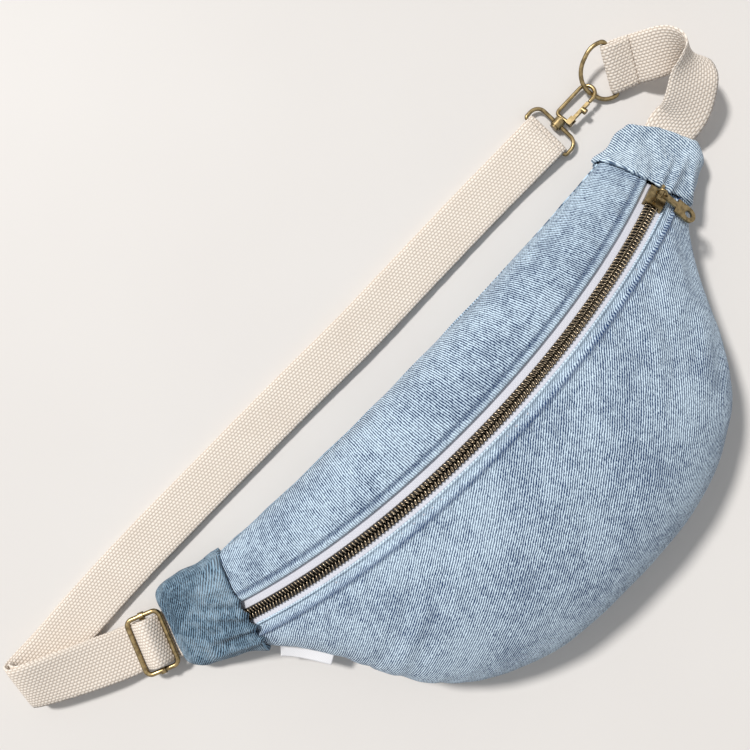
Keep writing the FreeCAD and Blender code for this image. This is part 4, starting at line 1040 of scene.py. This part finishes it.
def cloth_coordinates(tree, layer):
    """A piece's own UV map."""
    node = tree.nodes.new("ShaderNodeUVMap")
    node.uv_map = layer
    return node.outputs[0]


def denim(name, slant, dark, light, hem=None):
    """Washed blue denim with washed-out patches. With a hem, it is pale over the folded hem's ridge, partly from wear
    and partly as a painted highlight, and dark along the stitched groove as painted shade.
    """
    material, tree, shader = new_material(name)
    where = cloth_coordinates(tree, "cloth")
    twill = place_group(tree, TWILL, where, Rib_Pitch=RIB_PITCH, Slant=slant)
    base = colour_mix(tree, twill.outputs["Rib"], dark, light)
    mottled_and_shaded = colour_mix(tree, ramp(tree, twill.outputs["Mottle"], 0.47, 0.72, 0.0, 0.36), base, PALE)
    mottled_and_shaded = colour_mix(tree, ramp(tree, twill.outputs["Mottle"], 0.32, 0.52, 0.5, 0.0), mottled_and_shaded, dark)
    if hem:
        parts = tree.nodes.new("ShaderNodeSeparateXYZ")
        tree.links.new(where, parts.inputs[0])
        # Pale over the hem's ridge: partly wear, partly painted highlight.
        mottled_and_shaded = colour_mix(tree, ramp(tree, parts.outputs[1], 0.0, 0.78 * hem, 0.45, 0.0), mottled_and_shaded, PALE)
        # Dark along the stitched groove: painted shade.
        dip = math_node(tree, "ABSOLUTE", math_node(tree, "SUBTRACT", parts.outputs[1], hem))
        mottled_and_shaded = colour_mix(tree, ramp(tree, dip, 0.0, 0.0017, 0.7, 0.0), mottled_and_shaded, dark)
    tree.links.new(mottled_and_shaded, shader.inputs["Base Color"])
    rough = math_node(tree, "MULTIPLY_ADD", twill.outputs["Rib"], -0.12, 0.92)
    tree.links.new(rough, shader.inputs["Roughness"])
    settle(shader, Specular_IOR_Level=0.2, Sheen_Weight=0.12, Sheen_Roughness=0.5)
    relief(tree, shader, twill.outputs["Height"], 0.00032, 1.0)
    return material


def woven(name, layer, deep, light, row, grain, depth, shade_under_coil=False):
    """Basket-woven cotton: grains light on top and shaded between, and if asked, painted shade on the tape where a
    zip coil lies over it.
    """
    material, tree, shader = new_material(name)
    where = cloth_coordinates(tree, layer)
    weave = place_group(tree, BASKET, where, Row_Width=row, Grain_Length=grain)
    base = colour_mix(tree, weave.outputs["Grain"], deep, light)
    base = colour_mix(tree, ramp(tree, weave.outputs["Shade"], 0.35, 0.75, 0.0, 0.22), base, deep)
    if shade_under_coil:
        # Painted shade: the tape darkened where the coil lies over it, though the tape itself is white there.
        parts = tree.nodes.new("ShaderNodeSeparateXYZ")
        tree.links.new(where, parts.inputs[0])
        under = ramp(tree, parts.outputs[1], 0.0015, 0.0019, 0.95, 0.0)
        base = colour_mix(tree, under, base, srgb(0.1, 0.085, 0.07))
    tree.links.new(base, shader.inputs["Base Color"])
    settle(shader, Roughness=0.88, Specular_IOR_Level=0.2, Sheen_Weight=0.1)
    relief(tree, shader, weave.outputs["Height"], depth, 0.9)
    return material


def brass(name, painted_edge_shade, painted_highlight, tarnish, rough, size=1.0):
    """Antique brass with tarnish in patches. It is painted lighter where it faces the viewer, as a painted highlight,
    and darker towards its edges, as painted shade.
    """
    material, tree, shader = new_material(name)
    where = tree.nodes.new("ShaderNodeTexCoord").outputs["Object"]
    patina = place_group(tree, PATINA, where, Size=size)
    facing = tree.nodes.new("ShaderNodeLayerWeight")
    facing.inputs["Blend"].default_value = 0.35
    # Painted highlight where the surface faces the viewer, painted shade towards its edges.
    base = colour_mix(tree, facing.outputs["Facing"], painted_highlight, painted_edge_shade)
    base = colour_mix(tree, math_node(tree, "MULTIPLY", patina.outputs["Tarnish"], 0.55), base, tarnish)
    tree.links.new(base, shader.inputs["Base Color"])
    shader.inputs["Metallic"].default_value = 1.0
    scratched = math_node(tree, "MULTIPLY_ADD", patina.outputs["Scratches"], 0.22, rough)
    tree.links.new(scratched, shader.inputs["Roughness"])
    relief(tree, shader, patina.outputs["Height"], 0.00004, 0.6)
    return material


def thread(name, colour, shade):
    """Spun thread."""
    material, tree, shader = new_material(name)
    where = tree.nodes.new("ShaderNodeTexCoord").outputs["Object"]
    spun = noise_node(tree, where, 2400, 2)
    tree.links.new(colour_mix(tree, spun, shade, colour), shader.inputs["Base Color"])
    shader.inputs["Roughness"].default_value = 0.8
    relief(tree, shader, spun, 0.00005, 0.7)
    return material


def satin(name):
    """White satin ribbon."""
    material, tree, shader = new_material(name)
    where = cloth_coordinates(tree, "cloth")
    weave = place_group(tree, BASKET, where, Row_Width=0.0005, Grain_Length=0.0011)
    base = colour_mix(tree, weave.outputs["Grain"], srgb(0.86, 0.86, 0.88), srgb(0.97, 0.97, 0.98))
    tree.links.new(base, shader.inputs["Base Color"])
    settle(shader, Roughness=0.42, Sheen_Weight=0.2)
    relief(tree, shader, weave.outputs["Height"], 0.00004, 0.6)
    return material


def give(piece, material):
    """Put one material all over a piece."""
    piece.data.materials.clear()
    piece.data.materials.append(material)


DEEP = srgb(0.05, 0.19, 0.37)
PALE = srgb(0.86, 0.94, 1.0)
give(panels[0], denim("denim_lower_front", 0.55, DEEP, PALE, 0.0055))
give(panels[1], denim("denim_upper_front", 1.43, srgb(0.03, 0.15, 0.32), srgb(0.82, 0.91, 0.98), 0.0038))
give(panels[2], denim("denim_back", 0.80, srgb(0.17, 0.28, 0.39), srgb(0.80, 0.89, 0.96)))
# The left tab's denim is a darker copy of the cloth: painted shade, as if the tab lay in shadow.
give(left_tab, denim("denim_left_tab_painted_shade", 1.10, srgb(0.04, 0.10, 0.17), srgb(0.50, 0.62, 0.71)))
give(right_tab, denim("denim_right_tab", 1.88, srgb(0.15, 0.28, 0.42), srgb(0.88, 0.95, 1.0)))

cream = woven("cream_webbing", "weave", srgb(0.77, 0.71, 0.65), srgb(0.985, 0.95, 0.91), 0.00152, 0.0019, 0.00035)
for piece in (long_strap, return_strap, short_strap):
    give(piece, cream)
# The tape is given painted shade under the coil.
white_tape = woven(
    "white_zip_tape", "cloth", srgb(0.74, 0.75, 0.80), srgb(0.92, 0.92, 0.95), 0.0006, 0.0009, 0.00008,
    shade_under_coil=True,
)
for piece in tapes:
    give(piece, white_tape)
cotton = woven("cotton_lining", "cloth", srgb(0.80, 0.79, 0.76), srgb(0.93, 0.92, 0.89), 0.0005, 0.0005, 0.00008)
for piece in linings:
    give(piece, cotton)
give(label, satin("white_satin"))
cotton_thread = thread("cotton_thread", srgb(0.97, 0.95, 0.91), srgb(0.84, 0.80, 0.74))
for piece in threads[2:]:
    give(piece, cotton_thread)
give(threads[0], thread("pale_blue_thread", srgb(0.80, 0.87, 0.92), srgb(0.58, 0.67, 0.75)))
give(threads[1], thread("blue_thread", srgb(0.66, 0.75, 0.83), srgb(0.46, 0.56, 0.66)))
wire = brass("coil_wire", srgb(0.12, 0.10, 0.08), srgb(0.68, 0.62, 0.53), srgb(0.09, 0.075, 0.06), 0.18, 1.6)
for piece in coils:
    give(piece, wire)
old_brass = brass("antique_brass", srgb(0.30, 0.26, 0.18), srgb(0.68, 0.60, 0.44), srgb(0.16, 0.13, 0.08), 0.22)
HARDWARE = (
    "slider", "pull_link", "pull_tab", "buckle_frame", "buckle_bar", "d_ring",
    "hook_eye", "hook_body", "gate_pin", "hook_gate", "top_stops", "bottom_stop",
)
for node in HARDWARE:
    give(nodes[node], old_brass)
    take_up(nodes[node])
    bpy.ops.object.shade_smooth_by_angle(angle=math.radians(35))


# Floor, light and the look of the render.
def make_floor():
    """Pale table top."""
    clear_selection()
    bpy.ops.mesh.primitive_plane_add(size=6, location=(0, 0, -0.0002))
    floor = bpy.context.object
    floor.name = "table_top"
    material, tree, shader = new_material("pale_table")
    where = tree.nodes.new("ShaderNodeTexCoord").outputs["Object"]
    tone = noise_node(tree, where, 6, 3)
    colour = colour_mix(tree, tone, srgb(0.84, 0.825, 0.815), srgb(0.87, 0.86, 0.85))
    tree.links.new(colour, shader.inputs["Base Color"])
    shader.inputs["Roughness"].default_value = 0.55
    give(floor, material)


def make_light():
    """One broad sun from the upper left and an even pale surround."""
    sun = bpy.data.lights.new("key", "SUN")
    sun.energy = 3.1
    sun.angle = math.radians(8)
    sun.color = (1.0, 0.975, 0.94)
    key = bpy.data.objects.new("key", sun)
    bpy.context.scene.collection.objects.link(key)
    toward = (VIEW_RIGHT * -0.62 + VIEW_UP * 0.42 + Vector((0, 0, 1.0))).normalized()
    key.rotation_euler = toward.to_track_quat("Z", "Y").to_euler()
    world = bpy.data.worlds.new("surround")
    bpy.context.scene.world = world
    world.use_nodes = True
    tree = world.node_tree
    tree.nodes.clear()
    out = tree.nodes.new("ShaderNodeOutputWorld")
    ambient = tree.nodes.new("ShaderNodeBackground")
    settle(ambient, Color=(0.96, 0.98, 1.0, 1.0), Strength=0.40)
    seen = tree.nodes.new("ShaderNodeBackground")
    settle(seen, Color=srgb(0.93, 0.92, 0.91), Strength=1.0)
    path = tree.nodes.new("ShaderNodeLightPath")
    either = math_node(tree, "MAXIMUM", path.outputs["Is Camera Ray"], path.outputs["Is Glossy Ray"])
    mix = tree.nodes.new("ShaderNodeMixShader")
    tree.links.new(either, mix.inputs[0])
    tree.links.new(ambient.outputs[0], mix.inputs[1])
    tree.links.new(seen.outputs[0], mix.inputs[2])
    tree.links.new(mix.outputs[0], out.inputs[0])


make_floor()
make_light()
bpy.context.scene.view_settings.view_transform = "Standard"
clear_selection()
